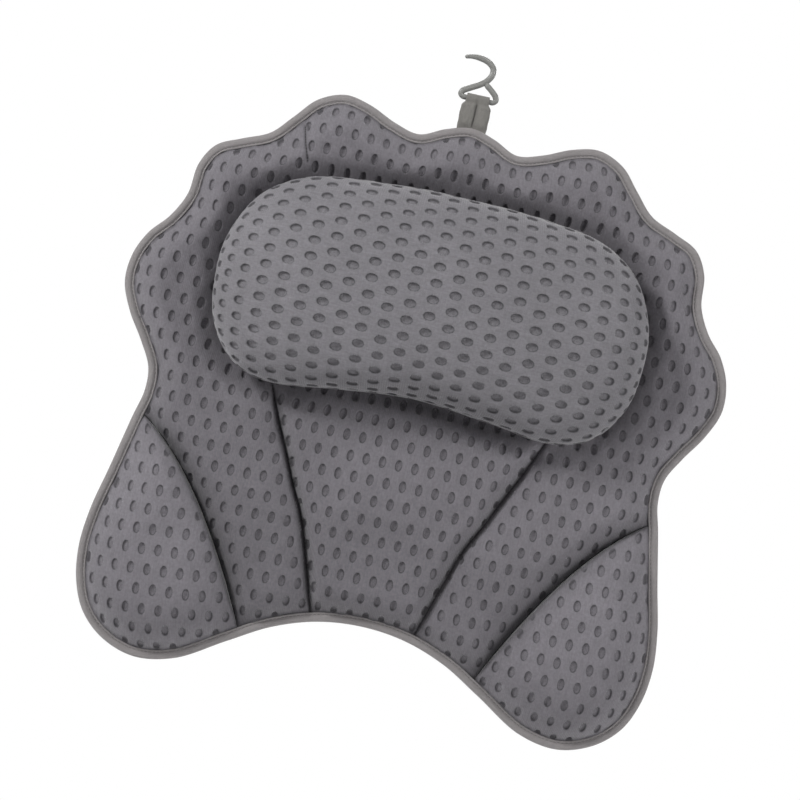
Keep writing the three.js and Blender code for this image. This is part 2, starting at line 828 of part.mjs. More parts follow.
// Suction cups
function suctionCup() {
  const inner = cupRadius - cupRimWidth;
  const shoulder = cupNeckRadius + cupWall;
  const neckTop = cupSkirtHeight + cupNeckLength;
  const headTop = neckTop + cupHeadThickness;
  const slope = (r) => 1 - (r / cupRadius) ** 2;
  const roof = (r) => cupRimThickness + (cupSkirtHeight - cupRimThickness) * slope(r);
  const hollow = (r) => (cupSkirtHeight - cupWall) * (1 - (r / inner) ** 2);
  const body = turned(
    [
      [0, hollow(0)],
      [inner / 2, hollow(inner / 2)],
      [inner, 0],
      [cupRadius, 0],
      [cupRadius, cupRimThickness],
      [(cupRadius + shoulder) / 2, roof((cupRadius + shoulder) / 2)],
      [shoulder, roof(shoulder)],
      [cupNeckRadius, cupSkirtHeight],
      [cupNeckRadius, neckTop],
      [cupHeadRadius, neckTop],
      [cupHeadRadius, headTop - cupHeadChamfer],
      [cupHeadRadius - cupHeadChamfer, headTop],
      [0, headTop],
    ],
    cupSides,
  );
  const tab = new THREE.Shape();
  tab.moveTo(-cupTabWidth / 2, cupTabRoot);
  tab.lineTo(cupTabWidth / 2, cupTabRoot);
  tab.lineTo(cupTabWidth / 2, cupTabWidth / 2 - cupTabReach);
  tab.absarc(0, cupTabWidth / 2 - cupTabReach, cupTabWidth / 2, 0, -Math.PI, true);
  const pull = new THREE.ExtrudeGeometry(tab, {
    depth: cupTabThickness,
    bevelEnabled: false,
    curveSegments: cupTabSteps,
  });
  pull.translate(0, -cupRadius * Math.cos(Math.PI / cupSides), cupRimThickness / 3);
  return geometryOf(solidOf(facingOut(body)).add(solidOf(pull)));
}

function facingOut(geometry) {
  const merged = mergeVertices(geometry.clone().deleteAttribute("normal").deleteAttribute("uv"));
  const at = merged.attributes.position;
  const points = Array.from({ length: at.count }, (_, i) => [at.getX(i), at.getY(i), at.getZ(i)]);
  const index = Array.from(merged.index.array);
  const triangles = [];
  for (let i = 0; i < index.length; i += 3) {
    const [a, b, c] = index.slice(i, i + 3);
    if (a !== b && b !== c && c !== a) triangles.push([a, b, c]);
  }
  return closedGeometry(points, triangles);
}

function cupPatch() {
  const hole = cupNeckRadius + patchHoleSlack;
  const pocket = cupHeadRadius + patchPocketSlack;
  const flat = pocket + patchSlope;
  const low = cupSkirtHeight + cupNeckLength - clearance;
  const high = backLevel - clearance;
  const lean = patchThickness / 3;
  return facingOut(
    turned(
      [
        [hole, low - patchThickness],
        [pocket, low - patchThickness],
        [flat, high - patchThickness],
        [patchRadius, high - patchThickness],
        [patchRadius, high],
        [flat - lean, high],
        [pocket - lean, low],
        [hole, low],
        [hole, low - patchThickness],
      ],
      cupSides,
    ),
  );
}

// Loop and hook
const matTop = outlineShares[0][1] * matHeight;
const loopFoot = matTop + clearance + loopThickness;
const barHeight = loopFoot + loopRise;

// Tape folded over the hook's bar, drawn from the side and extruded across.
function hangingLoop() {
  const eye = hookWire / 2 + hookSlack;
  const bend = eye + loopThickness;
  const side = new THREE.Shape();
  side.absarc(0, loopFoot, loopThickness, Math.PI, 2 * Math.PI, false);
  side.lineTo(loopThickness, barHeight - loopNarrowing);
  side.lineTo(bend, barHeight);
  side.absarc(0, barHeight, bend, 0, Math.PI, false);
  side.lineTo(-loopThickness, barHeight - loopNarrowing);
  const hole = new THREE.Path();
  hole.moveTo(0, barHeight - loopPocket);
  hole.lineTo(-eye, barHeight);
  hole.absarc(0, barHeight, eye, Math.PI, 0, true);
  side.holes.push(hole);
  const tape = new THREE.ExtrudeGeometry(side, {
    depth: loopWidth,
    bevelEnabled: false,
    curveSegments: loopBendSteps,
  });
  tape.translate(0, 0, -loopWidth / 2).rotateY(Math.PI / 2).translate(0, 0, middleLevel);
  const at = tape.attributes.position;
  for (let i = 0; i < at.count; i++) {
    const up = clamp((at.getY(i) - barHeight + loopNarrowing) / (loopNarrowing / 2), 0, 1);
    at.setX(i, at.getX(i) * lerp(1, loopTopWidth / loopWidth, up));
  }
  return tape;
}

function hangingHook() {
  const along = (shares, joinSide) => {
    const place = ([x, y]) => [(x * hookWidth) / 2, barHeight + y * hookRise, middleLevel];
    const points = shares.map((share) => new THREE.Vector3(...place(share)));
    const end = joinSide > 0 ? points.at(-1) : points[0];
    end.x += joinSide * hookJoin;
    return new THREE.CatmullRomCurve3(points, false, "centripetal");
  };
  const bend = tube(along(hookBendShares, 1), hookWire / 2, hookSides, hookBendSteps);
  const arm = tube(along(hookArmShares, -1), hookWire / 2, hookSides, hookArmSteps);
  return geometryOf(solidOf(bend).add(solidOf(arm)));
}

// Assembly
const pillow = new THREE.Group();
pillow.rotation.x = Math.PI / 2;

function put(name, geometry, material, x = 0, y = 0) {
  const piece = new THREE.Mesh(geometry, material);
  piece.name = name;
  piece.position.set(x, y, 0);
  pillow.add(piece);
}

// The mirror image of a geometry, with its faces turned back to face out.
function mirrored(geometry) {
  return facingOut(geometry.clone().scale(-1, 1, 1));
}

function putPair(name, right, material) {
  put("right_" + name, right, material);
  put("left_" + name, mirrored(right), material);
}

const mat = matPlan();
const wing = wingPlan();
put("front_cover", layer(mat, frontHeight, underCover), materials.cover);
putPair("wing_cover", layer(wing, frontHeight, underCover), materials.cover);
const wads = matWads(mat);
put("shell_wadding", wads.shell, materials.wadding);
put("centre_channel_wadding", wads.centre, materials.wadding);
put("right_channel_wadding", wads.right, materials.wadding);
put("left_channel_wadding", wads.left, materials.wadding);
putPair("wing_wadding", wad(wingLoop(bindingWidth + wadInset, wadInset), wing), materials.wadding);

const cloth = backCloth();
put("back_cloth", cloth.upper, materials.backCloth);
putPair("wing_back_cloth", cloth.right, materials.backCloth);
const tape = binding();
put("scallop_binding", tape.upper, materials.binding);
put("arch_binding", tape.arch, materials.binding);
putPair("wing_binding", tape.right, materials.binding);
putPair("fold_thread", foldThread(), materials.thread);
putPair("channel_thread", channelThread(), materials.thread);

put("head_cushion_cover", cushionCover(), materials.cushion);
put("head_cushion_wadding", cushionWad(), materials.wadding);
put("head_cushion_base", cushionBase(), materials.backCloth);

for (const [row, share] of Object.entries(cupShares)) {
  const [x, y] = onMat(share);
  for (const side of [-1, 1]) {
    const place = row + (side < 0 ? "_left" : "_right");
    put("suction_cup_" + place, suctionCup(), materials.cup, side * x, y);
    put("cup_patch_" + place, cupPatch(), materials.loop, side * x, y);
  }
}

put("hanging_loop", hangingLoop(), materials.loop);
put("hanging_hook", hangingHook(), materials.hook);

export default pillow;
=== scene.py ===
"""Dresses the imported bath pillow: mesh cloth over padding, binding, seams, cups, loop and hook.

Lengths in the classes are millimetres, in the plane that the mat is drawn in: X across it, Y up it and
Z from the wall towards the head. upright() turns them to the frame's metres, +Z up and the front facing -Y.
"""

import json
import logging
import math
from dataclasses import dataclass
from enum import Enum
from typing import Callable, Iterable, Sequence

import bmesh
import bpy
import numpy as np
from mathutils import Matrix, Vector
from mathutils.bvhtree import BVHTree
from mathutils.geometry import delaunay_2d_cdt
from mathutils.kdtree import KDTree


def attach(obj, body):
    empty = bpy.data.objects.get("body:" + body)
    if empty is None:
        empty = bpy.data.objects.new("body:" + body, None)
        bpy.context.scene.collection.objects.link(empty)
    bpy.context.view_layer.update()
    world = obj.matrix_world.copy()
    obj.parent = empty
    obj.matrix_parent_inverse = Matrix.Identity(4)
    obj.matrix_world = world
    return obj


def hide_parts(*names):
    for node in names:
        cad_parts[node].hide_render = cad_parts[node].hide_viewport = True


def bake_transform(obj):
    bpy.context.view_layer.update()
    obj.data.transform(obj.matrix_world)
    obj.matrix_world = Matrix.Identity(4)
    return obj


MM = 0.001
EVEN = (1.0, 1.0, 1.0)
# A wave node's scale for waves a metre long
WAVES = 0.314
CLOTH_SETTINGS = {
    "quality": 5,
    "mass": 0.2,
    "tension_stiffness": 12,
    "compression_stiffness": 12,
    "shear_stiffness": 4,
    "bending_stiffness": 0.3,
    "vertex_group_mass": "sewn",
    "pin_stiffness": 1.0,
    "use_pressure": True,
}

Points = np.ndarray
Faces = list[tuple[int, ...]]
Skin = tuple[Points, Faces]
Lines = Sequence[Points]
Test = Callable[[Points], Points]
Shares = Sequence[tuple[float, float]]
Piece = bpy.types.Object
Node = bpy.types.Node
Socket = bpy.types.NodeSocket
Layers = Sequence[tuple[float, tuple[float, float, float], float]]

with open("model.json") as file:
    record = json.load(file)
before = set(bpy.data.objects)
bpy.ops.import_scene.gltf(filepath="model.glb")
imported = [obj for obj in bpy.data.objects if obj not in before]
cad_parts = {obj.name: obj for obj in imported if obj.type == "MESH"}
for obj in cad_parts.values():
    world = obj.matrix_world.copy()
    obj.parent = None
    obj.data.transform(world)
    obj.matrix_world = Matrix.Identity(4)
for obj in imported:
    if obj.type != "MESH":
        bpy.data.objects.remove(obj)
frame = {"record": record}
log = logging.getLogger("bath_pillow")


class Named(Enum):
    """A choice whose name is part of the pieces' names."""

    @property
    def word(self) -> str:
        """The name in lower case."""
        return self.name.lower()


class Side(Named):
    """A side of the pillow, as seen from its front, with the sign of X there."""

    LEFT = -1
    RIGHT = 1

    @property
    def wing(self) -> str:
        """The name of this side's wing and of its body."""
        return self.word + "_wing"


class Row(Named):
    """A row of suction cups, with its right cup's centre."""

    UPPER = (88.038, 129.93)
    MIDDLE = (150.015, -2.13)
    LOWER = (42.048, -127.8)


class Slot(Enum):
    """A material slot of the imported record."""

    MAT = "mat_cloth"
    CUSHION = "cushion_cloth"
    BACK = "back_cloth"
    TAPE = "binding_tape"
    THREAD = "thread"
    LOOP = "loop_tape"
    HOOK = "hook_plastic"
    CUP = "cup_vinyl"


# Plane geometry


def upright(points: Points) -> Points:
    """Turns points of the drawing to the frame.

    Args:
        points: Rows of x, y, z in millimetres.

    Returns:
        Rows of x, y, z in metres, with the drawing's Y up and its Z to the front.
    """
    points = np.asarray(points, float).reshape(-1, 3)
    return np.stack([points[:, 0], -points[:, 2], points[:, 1]], axis=1) * MM


def unit(rows: Points) -> Points:
    """Rows brought to a length of 1."""
    return rows / np.linalg.norm(rows, axis=1)[:, None]


def at_level(plan: Points, level: float | Points) -> Points:
    """Rows of x, y with one level, or one for each, as their z."""
    return np.column_stack([plan, np.broadcast_to(level, len(plan))])


def ring_of(line: Points) -> Points:
    """A closed line with its first point once more at its end."""
    return np.vstack([line, line[:1]])


def folded(points: Points) -> Points:
    """Rows of x, y with the left half laid on the right one."""
    return np.stack([np.abs(points[:, 0]), points[:, 1]], axis=1)


def turns(count: int) -> Points:
    """Even angles all round."""
    return np.arange(count) * 2 * np.pi / count


def spread(line: Points, count: int, closed: bool = False) -> Points:
    """Points evenly spaced along a line.

    Args:
        line: Rows of coordinates.
        count: How many points to give.
        closed: Whether the line runs back to its start.

    Returns:
        That many rows, the last one short of the start on a closed line.
    """
    line = ring_of(line) if closed else np.asarray(line, float)
    steps = np.linalg.norm(np.diff(line, axis=0), axis=1)
    far = np.concatenate([[0.0], np.cumsum(steps)])
    at = np.linspace(0, far[-1], count, endpoint=not closed)
    return np.stack([np.interp(at, far, line[:, k]) for k in range(line.shape[1])], axis=1)


def curve_through(points: Points, closed: bool = False, divisions: int = 24) -> Points:
    """A centripetal Catmull-Rom curve through points.

    Args:
        points: Rows of coordinates.
        closed: Whether the curve runs back to its start.
        divisions: Steps between two of the points.

    Returns:
        Rows along the curve.
    """
    points = np.asarray(points, float)
    if closed:
        ring = np.vstack([points[-1:], points, points[:2]])
    else:
        ring = np.vstack([2 * points[:1] - points[1:2], points, 2 * points[-1:] - points[-2:-1]])
    t = np.linspace(0, 1, divisions, endpoint=False)[:, None]
    found = []
    for i in range(len(ring) - 3):
        a, b, c, d = ring[i : i + 4]
        ab, bc, cd = (max(np.linalg.norm(q - p), 1e-6) ** 0.5 for p, q in ((a, b), (b, c), (c, d)))
        start = ((b - a) / ab - (c - a) / (ab + bc) + (c - b) / bc) * bc
        end = ((c - b) / bc - (d - b) / (bc + cd) + (d - c) / cd) * bc
        from_start = (2 * t**3 - 3 * t**2 + 1) * b + (t**3 - 2 * t**2 + t) * start
        found.append(from_start + (3 * t**2 - 2 * t**3) * c + (t**3 - t**2) * end)
    if not closed:
        found.append(points[-1:])
    return np.vstack(found)


def mirrored(shares: Shares, width: float, height: float, count: int) -> Points:
    """An even line round a shape whose left half mirrors its right one.

    Args:
        shares: Points down the right half, as shares of half the width and of the height.
        width: The width of the whole shape.
        height: The height that the shares are of.
        count: How many points to give.

    Returns:
        Rows of x, y, clockwise from the middle of the top.
    """
    half = np.array(shares) * (width / 2, height)
    left = half[1:-1][::-1] * (-1, 1)
    return spread(curve_through(np.vstack([half, left]), True), count, True)


def inset(loop: Points, distance: float | Points, closed: bool = True) -> Points:
    """Moves a line to the right of the way it runs.

    Args:
        loop: Rows of x, y. A closed loop runs clockwise, so right is inwards.
        distance: How far, for all the points or for each.
        closed: Whether the line runs back to its start.

    Returns:
        The moved rows.
    """
    way = np.roll(loop, -1, axis=0) - np.roll(loop, 1, axis=0)
    if not closed:
        way[0] = loop[1] - loop[0]
        way[-1] = loop[-1] - loop[-2]
    way = unit(way)
    right = np.stack([way[:, 1], -way[:, 0]], axis=1)
    return loop + right * np.reshape(distance, (-1, 1))


def reach(points: Points, line: Points, closed: bool = False) -> tuple[Points, Points]:
    """Distances from points to a line.

    Args:
        points: Rows of x, y.
        line: Rows of x, y.
        closed: Whether the line runs back to its start.

    Returns:
        The distances, and the side of the line that each point lies on, 1 or -1.
    """
    starts = line if closed else line[:-1]
    way = (np.roll(line, -1, axis=0) if closed else line[1:]) - starts
    square = np.maximum((way**2).sum(axis=1), 1e-9)
    far = np.empty(len(points))
    side = np.empty(len(points))
    for i in range(0, len(points), 4096):
        gap = points[i : i + 4096, None, :] - starts[None]
        t = np.clip((gap * way[None]).sum(axis=2) / square, 0, 1)
        squares = ((gap - t[:, :, None] * way[None]) ** 2).sum(axis=2)
        best = squares.argmin(axis=1)
        row = np.arange(len(best))
        far[i : i + 4096] = np.sqrt(squares[row, best])
        cross = gap[row, best, 0] * way[best, 1] - gap[row, best, 1] * way[best, 0]
        side[i : i + 4096] = np.sign(cross)
    return far, side


def nearest(points: Points, lines: Iterable[Points]) -> Points:
    """Distances from points to the nearest of some open lines."""
    return np.minimum.reduce([np.full(len(points), np.inf), *(reach(points, line)[0] for line in lines)])


def near(points: Points, line: Points) -> Points:
    """Distances from many points to a long closed line, good to a tenth of a millimetre.

    Args:
        points: Rows of x, y.
        line: Rows of x, y.

    Returns:
        The distances.
    """
    step = 0.4
    length = np.linalg.norm(np.diff(ring_of(line), axis=0), axis=1).sum()
    fine = spread(line, max(2, int(length / step)), True)
    tree = KDTree(len(fine))
    for i, (x, y) in enumerate(fine):
        tree.insert((x, y, 0.0), i)
    tree.balance()
    return np.array([tree.find((x, y, 0.0))[2] for x, y in points])


def inside(points: Points, loop: Points) -> Points:
    """Whether each point lies in a closed loop.

    Args:
        points: Rows of x, y.
        loop: Rows of x, y.

    Returns:
        One truth value a point.
    """
    ends = np.roll(loop, -1, axis=0)
    rise_by = ends[:, 1] - loop[:, 1]
    rise_by[rise_by == 0] = 1e-9
    slope = (ends[:, 0] - loop[:, 0]) / rise_by
    found = np.empty(len(points), bool)
    for i in range(0, len(points), 8192):
        x = points[i : i + 8192, 0, None]
        y = points[i : i + 8192, 1, None]
        crossed = (loop[None, :, 1] > y) != (ends[None, :, 1] > y)
        left = x < slope[None] * (y - loop[None, :, 1]) + loop[None, :, 0]
        found[i : i + 8192] = (crossed & left).sum(axis=1) % 2 == 1
    return found


def nowhere(points: Points) -> Points:
    """A no for each point."""
    return np.zeros(len(points), bool)


def clear_of(points: Points, loop: Points, gap: float) -> Points:
    """The points that lie in a closed loop and further than a gap from it."""
    points = points[inside(points, loop)]
    return points[near(points, loop) > gap]


def triangular(loop: Points, spacing: float) -> Points:
    """A grid of even triangles over the box round a loop.

    Args:
        loop: Rows of x, y.
        spacing: Distance between the points of the grid.

    Returns:
        Rows of x, y.
    """
    low, high = loop.min(axis=0), loop.max(axis=0)
    rows = np.arange(low[1], high[1], spacing * math.sqrt(3) / 2)
    grid = np.stack(np.meshgrid(np.arange(low[0], high[0], spacing), rows), axis=-1)
    grid[1::2, :, 0] += spacing / 2
    return grid.reshape(-1, 2)


def swell(far: Points, over: float) -> Points:
    """How full a padded area is at a distance from its seam, growing to 1 over a distance."""
    return 1 - (1 - np.clip(far / over, 0, 1)) ** 2


def rounded(far: Points, over: float) -> Points:
    """How full a tightly stuffed area is at a distance from its seam, as the quarter of a circle."""
    return np.sqrt(swell(far, over))


def fading(far: Points, over: float, share: float) -> Points:
    """A share at a seam that grows to 1 over a distance from it."""
    return share + (1 - share) * np.clip(far / over, 0, 1)


def smooth(low: float, high: float, value: float | Points) -> Points:
    """A smooth step from 0 at low to 1 at high."""
    t = np.clip((value - low) / (high - low), 0, 1)
    return t * t * (3 - 2 * t)


def bell(far: Points, width: float) -> Points:
    """1 at a distance of 0, falling off on both sides over a width."""
    return np.exp(-((far / width) ** 2))


# The shapes


@dataclass(frozen=True)
class CushionShape:
    """The surface of the head cushion over its foot."""

    width: float = 303.0
    height: float = 156.0
    centre: float = 68.0
    foot: float = 19.6
    belly: float = 43.3
    top: float = 85.3
    tuck: float = 6.0
    fullness: float = 2.1
    spine: float = 0.62
    count: int = 300

    half_shares = (
        (0, 0.503), (0.255, 0.497), (0.478, 0.479), (0.637, 0.452), (0.764, 0.403), (0.879, 0.316),
        (0.955, 0.194), (0.997, 0.06), (1, -0.094), (0.978, -0.237), (0.917, -0.356), (0.828, -0.441),
        (0.7325, -0.481), (0.618, -0.496), (0.51, -0.492), (0.35, -0.477), (0, -0.45),
    )  # fmt: skip

    def loop(self, inwards: float = 0.0) -> Points:
        """Its widest line, clockwise from the middle of the top, drawn in by a distance."""
        ring = mirrored(self.half_shares, self.width, self.height, self.count)
        return inset(ring + (0, self.centre), inwards)

    def ridge(self, ring: Points) -> Points:
        """The line along the middle of the cushion's top.

        Args:
            ring: The widest line.

        Returns:
            For each of its points, the point of the ridge that the cloth runs up to.
        """
        x = ring[:, 0] * self.spine
        upper = ring[:, 1] > self.centre
        levels = []
        for half in (ring[upper], ring[~upper]):
            levels.append(np.interp(x, *half[np.argsort(half[:, 0])].T))
        return np.stack([x, (levels[0] + levels[1]) / 2], axis=1)

    def shells(self, rings: int = 40, skirt: int = 10) -> tuple[Points, Points]:
        """The surface as rings from the ridge down to the foot.

        Args:
            rings: Steps from the ridge to the widest line.
            skirt: Steps from there to the foot.

        Returns:
            Arrays of ring by point by coordinate: the surface, and the same points laid flat as cloth.
        """
        ring = self.loop()
        ridge = self.ridge(ring)
        surface = []
        for share in np.sin(np.linspace(0, np.pi / 2, rings + 1)):
            level = self.belly + (self.top - self.belly) * (1 - share**self.fullness) ** (1 / self.fullness)
            surface.append(at_level(ridge + (ring - ridge) * share, level))
        for share in np.linspace(1, 0, skirt + 1)[1:]:
            plan = inset(ring, self.tuck * (1 - math.sin(share * math.pi / 2)))
            surface.append(at_level(plan, self.foot + (self.belly - self.foot) * share))
        surface = np.array(surface)
        steps = np.linalg.norm(np.diff(surface, axis=0), axis=2)
        far = np.vstack([np.zeros(len(ring)), np.cumsum(steps, axis=0)])
        return surface, ridge[None] + unit(ring - ridge)[None] * far[:, :, None]


@dataclass(frozen=True)
class MatShape:
    """The plan and the front surface of the whole mat, with its wings."""

    width: float = 438.0
    height: float = 426.0
    clearance: float = 0.3
    back: float = 15.0
    floor: float = 16.5
    hem: float = 18.3
    deck_rise: float = 1.0
    deck_reach: float = 27.0
    shell_crown: float = 13.0
    channel_crown: float = 17.0
    wing_crown: float = 24.0
    edge_reach: float = 22.0
    seam_reach: float = 13.0
    channel_reach: float = 25.0
    wing_edge_reach: float = 38.0
    wing_seam_reach: float = 30.0
    fold_reach: float = 22.0
    binding_width: float = 7.0
    hem_inset: float = 2.5
    fold_bow: float = 9.5
    fold_lift: float = 30.0
    wing_wall: float = 0.36

    outline_shares = (
        (0, 0.469), (0.082, 0.458), (0.164, 0.44), (0.247, 0.45), (0.338, 0.47), (0.425, 0.478),
        (0.511, 0.46), (0.575, 0.424), (0.639, 0.389), (0.726, 0.369), (0.804, 0.349), (0.847, 0.312),
        (0.861, 0.258), (0.902, 0.216), (0.959, 0.181), (0.995, 0.139), (1, 0.092), (0.963, 0.045),
        (0.906, 0), (0.865, -0.04), (0.86, -0.08), (0.881, -0.127), (0.918, -0.218), (0.95, -0.293),
        (0.961, -0.357), (0.945, -0.416), (0.902, -0.465), (0.822, -0.502), (0.708, -0.521),
        (0.575, -0.509), (0.42, -0.462), (0.288, -0.423), (0.146, -0.398), (0, -0.39),
    )  # fmt: skip
    fold_shares = ((0.868, -0.112), (0.396, -0.436))
    channel_line = (
        (108, 14), (100, -10), (90, -34), (80, -55), (70, -77), (60, -97), (52, -120), (45, -142),
        (37.6, -166),
    )  # fmt: skip

    @property
    def tape_front(self) -> float:
        """Level of the binding tape's front face."""
        return self.hem + self.clearance + 1.0

    @property
    def lip(self) -> Points:
        """The binding's inner edge."""
        return inset(self.outline(), self.binding_width)

    def outline(self, count: int = 720) -> Points:
        """The whole edge, clockwise from the middle of the top."""
        return mirrored(self.outline_shares, self.width, self.height, count)

    def fold(self) -> Points:
        """The right wing's bowed seam.

        Returns:
            Rows from its top end down, run on past the binding at both ends.
        """
        top, bottom = np.array(self.fold_shares) * (self.width / 2, self.height)
        way = (bottom - top) / np.linalg.norm(bottom - top)
        inwards = np.array([way[1], -way[0]])
        control = (top + bottom) / 2 + inwards * 2 * self.fold_bow
        t = np.linspace(0, 1, 48)[:, None]
        seam = (1 - t) ** 2 * top + 2 * t * (1 - t) * control + t**2 * bottom
        past = 3 * self.binding_width
        before = seam[0] + (seam[0] - seam[1]) / np.linalg.norm(seam[0] - seam[1]) * past
        after = seam[-1] + (seam[-1] - seam[-2]) / np.linalg.norm(seam[-1] - seam[-2]) * past
        return np.vstack([before, seam + inwards * self.fold_lift * t * (1 - t) ** 3, after])

    def channel(self) -> Points:
        """The right channel's seam, from under the cushion down to the arch."""
        return spread(curve_through(self.channel_line), 80)

    def into_wing(self, points: Points) -> Points:
        """How far points lie on a wing's side of its seam.

        Args:
            points: Rows of x, y.

        Returns:
            The distances, less than 0 on the mat's side.
        """
        points = folded(points)
        line = self.fold()
        far, side = reach(points, line)
        return np.where(points[:, 1] < line[0, 1], -side * far, -far)

    def front(self, points: Points, cushion: CushionShape) -> Points:
        """Height of the front face over the wall at rest.

        Args:
            points: Rows of x, y.
            cushion: The head cushion, which is sewn to a flat on the mat.

        Returns:
            One height a point.
        """
        edge = near(points, self.outline()) - self.binding_width - self.clearance
        wing = self.into_wing(points)
        channel, side = reach(folded(points), self.channel())
        outer = 0.5 * rounded(channel, 2.5) + 0.5 * swell(channel, self.channel_reach)
        beside = np.where(side > 0, swell(channel, self.seam_reach), outer)
        down = np.clip((cushion.centre - points[:, 1]) / cushion.height, 0, 1)
        mat_crown = self.shell_crown + (self.channel_crown - self.shell_crown) * down
        on_mat = swell(edge, self.edge_reach) * swell(-wing - 0.6, self.fold_reach)
        over = 0.15 * rounded(wing, 3.0) + (0.85 - self.wing_wall) * swell(wing, self.wing_seam_reach)
        on_wing = swell(edge, self.wing_edge_reach) * (self.wing_wall + over)
        puffed = self.hem + np.where(wing > 0, self.wing_crown * on_wing, mat_crown * on_mat * beside)
        deck = cushion.loop(cushion.tuck - 1.5)
        away = np.where(inside(points, deck), 0, near(points, deck))
        level = self.hem + self.deck_rise
        return level + (puffed - level) * (1 - (1 - smooth(0, self.deck_reach, away)) ** 1.5)


# Meshes


def linked(name: str, data: bpy.types.ID) -> Piece:
    """Makes an object at the origin and puts it in the scene.

    Args:
        name: The object's name.
        data: Its mesh, camera or lamp.

    Returns:
        The object.
    """
    made = bpy.data.objects.new(name, data)
    bpy.context.scene.collection.objects.link(made)
    return made


def make_object(name: str, points: Points, faces: Iterable[Sequence[int]], edges: Iterable = ()) -> Piece:
    """Makes a smooth mesh object at the origin.

    Args:
        name: The object's name.
        points: Rows of x, y, z in metres.
        faces: Corners of each face.
        edges: Ends of each loose edge.

    Returns:
        The linked object.
    """
    mesh = bpy.data.meshes.new(name)
    mesh.from_pydata([tuple(p) for p in points], list(edges), [tuple(f) for f in faces])
    mesh.validate()
    if len(mesh.polygons):
        mesh.shade_smooth()
    return linked(name, mesh)


def solid(name: str, skin: Skin, finish: "Finish | None" = None) -> Piece:
    """Makes a closed piece whose faces point outwards.

    Args:
        name: Its name.
        skin: Its points in the drawing, and its faces.
        finish: Its finish, if it gets one now.

    Returns:
        The piece.
    """
    piece = face_outwards(make_object(name, upright(skin[0]), skin[1]))
    if finish:
        piece.data.materials.append(finish.material())
    return piece


def face_outwards(piece: Piece) -> Piece:
    """Turns the faces of a closed piece outwards.

    Args:
        piece: The piece.

    Returns:
        The same piece.
    """
    work = bmesh.new()
    work.from_mesh(piece.data)
    bmesh.ops.remove_doubles(work, verts=work.verts, dist=1e-7)
    bmesh.ops.recalc_face_normals(work, faces=work.faces)
    work.to_mesh(piece.data)
    work.free()
    piece.data.shade_smooth()
    return piece


def refinish(piece: Piece, finish: "Finish") -> None:
    """Gives a smooth piece one finish in place of any others."""
    piece.data.materials.clear()
    piece.data.materials.append(finish.material())


def read(piece: Piece, what: str = "co") -> Points:
    """Reads a vector of each point of a piece's mesh.

    Args:
        piece: The piece.
        what: "co" for its place, "normal" for the surface's normal.

    Returns:
        Rows of x, y, z.
    """
    values = np.empty(len(piece.data.vertices) * 3)
    piece.data.vertices.foreach_get(what, values)
    return values.reshape(-1, 3)


def store(piece: Piece, name: str, values: Sequence) -> None:
    """Writes a vector attribute on the points of a mesh.

    Args:
        piece: The piece.
        name: The attribute's name.
        values: Rows of up to three numbers for its first points. All the rest is 0.
    """
    rows = np.zeros((len(piece.data.vertices), 3), np.float32)
    values = np.reshape(values, (len(values), -1))
    rows[: values.shape[0], : values.shape[1]] = values
    piece.data.attributes.new(name, "FLOAT_VECTOR", "POINT").data.foreach_set("vector", rows.ravel())


def modify(piece: Piece, kind: str, **settings: object) -> None:
    """Adds a modifier of a kind.

    Args:
        piece: The piece.
        kind: The modifier's type.
        settings: Its properties.
    """
    modifier = piece.modifiers.new(kind.title(), kind)
    for name, value in settings.items():
        setattr(modifier, name, value)


def bake_modifiers(piece: Piece) -> Piece:
    """Turns what a piece's modifiers make into its own plain mesh, and removes them.

    Args:
        piece: The piece.

    Returns:
        The same piece.
    """
    graph = bpy.context.evaluated_depsgraph_get()
    graph.update()
    evaluated = piece.evaluated_get(graph)
    made = bpy.data.meshes.new_from_object(evaluated, preserve_all_data_layers=True, depsgraph=graph)
    old = piece.data
    piece.modifiers.clear()
    piece.data = made
    made.name = piece.name
    bpy.data.meshes.remove(old)
    return piece


def join(piece: Piece, other: Piece) -> None:
    """Makes one skin of two closed pieces.

    Args:
        piece: The piece that is kept.
        other: The piece that it takes in, which is removed.
    """
    modify(piece, "BOOLEAN", operation="UNION", object=other, solver="EXACT")
    bake_modifiers(piece)
    bpy.data.objects.remove(other)


def run_tree(piece: Piece, tree: bpy.types.NodeTree, values: dict[str, object]) -> Piece:
    """Runs a Geometry Nodes tree on a piece and keeps its result.

    Args:
        piece: The mesh object.
        tree: The tree.
        values: What each named input is set to.

    Returns:
        The piece, with the result as its mesh.
    """
    modifier = piece.modifiers.new(tree.name, "NODES")
    modifier.node_group = tree
    for item in tree.interface.items_tree:
        if item.item_type == "SOCKET" and item.in_out == "INPUT" and item.name in values:
            modifier[item.identifier] = values[item.name]
    return bake_modifiers(piece)


def turning(points: Points, triangles: Points) -> Points:
    """Twice the area of each triangle, less than 0 where it runs clockwise."""
    a, b, c = (points[triangles[:, k]] for k in range(3))
    return (b[:, 0] - a[:, 0]) * (c[:, 1] - a[:, 1]) - (b[:, 1] - a[:, 1]) * (c[:, 0] - a[:, 0])


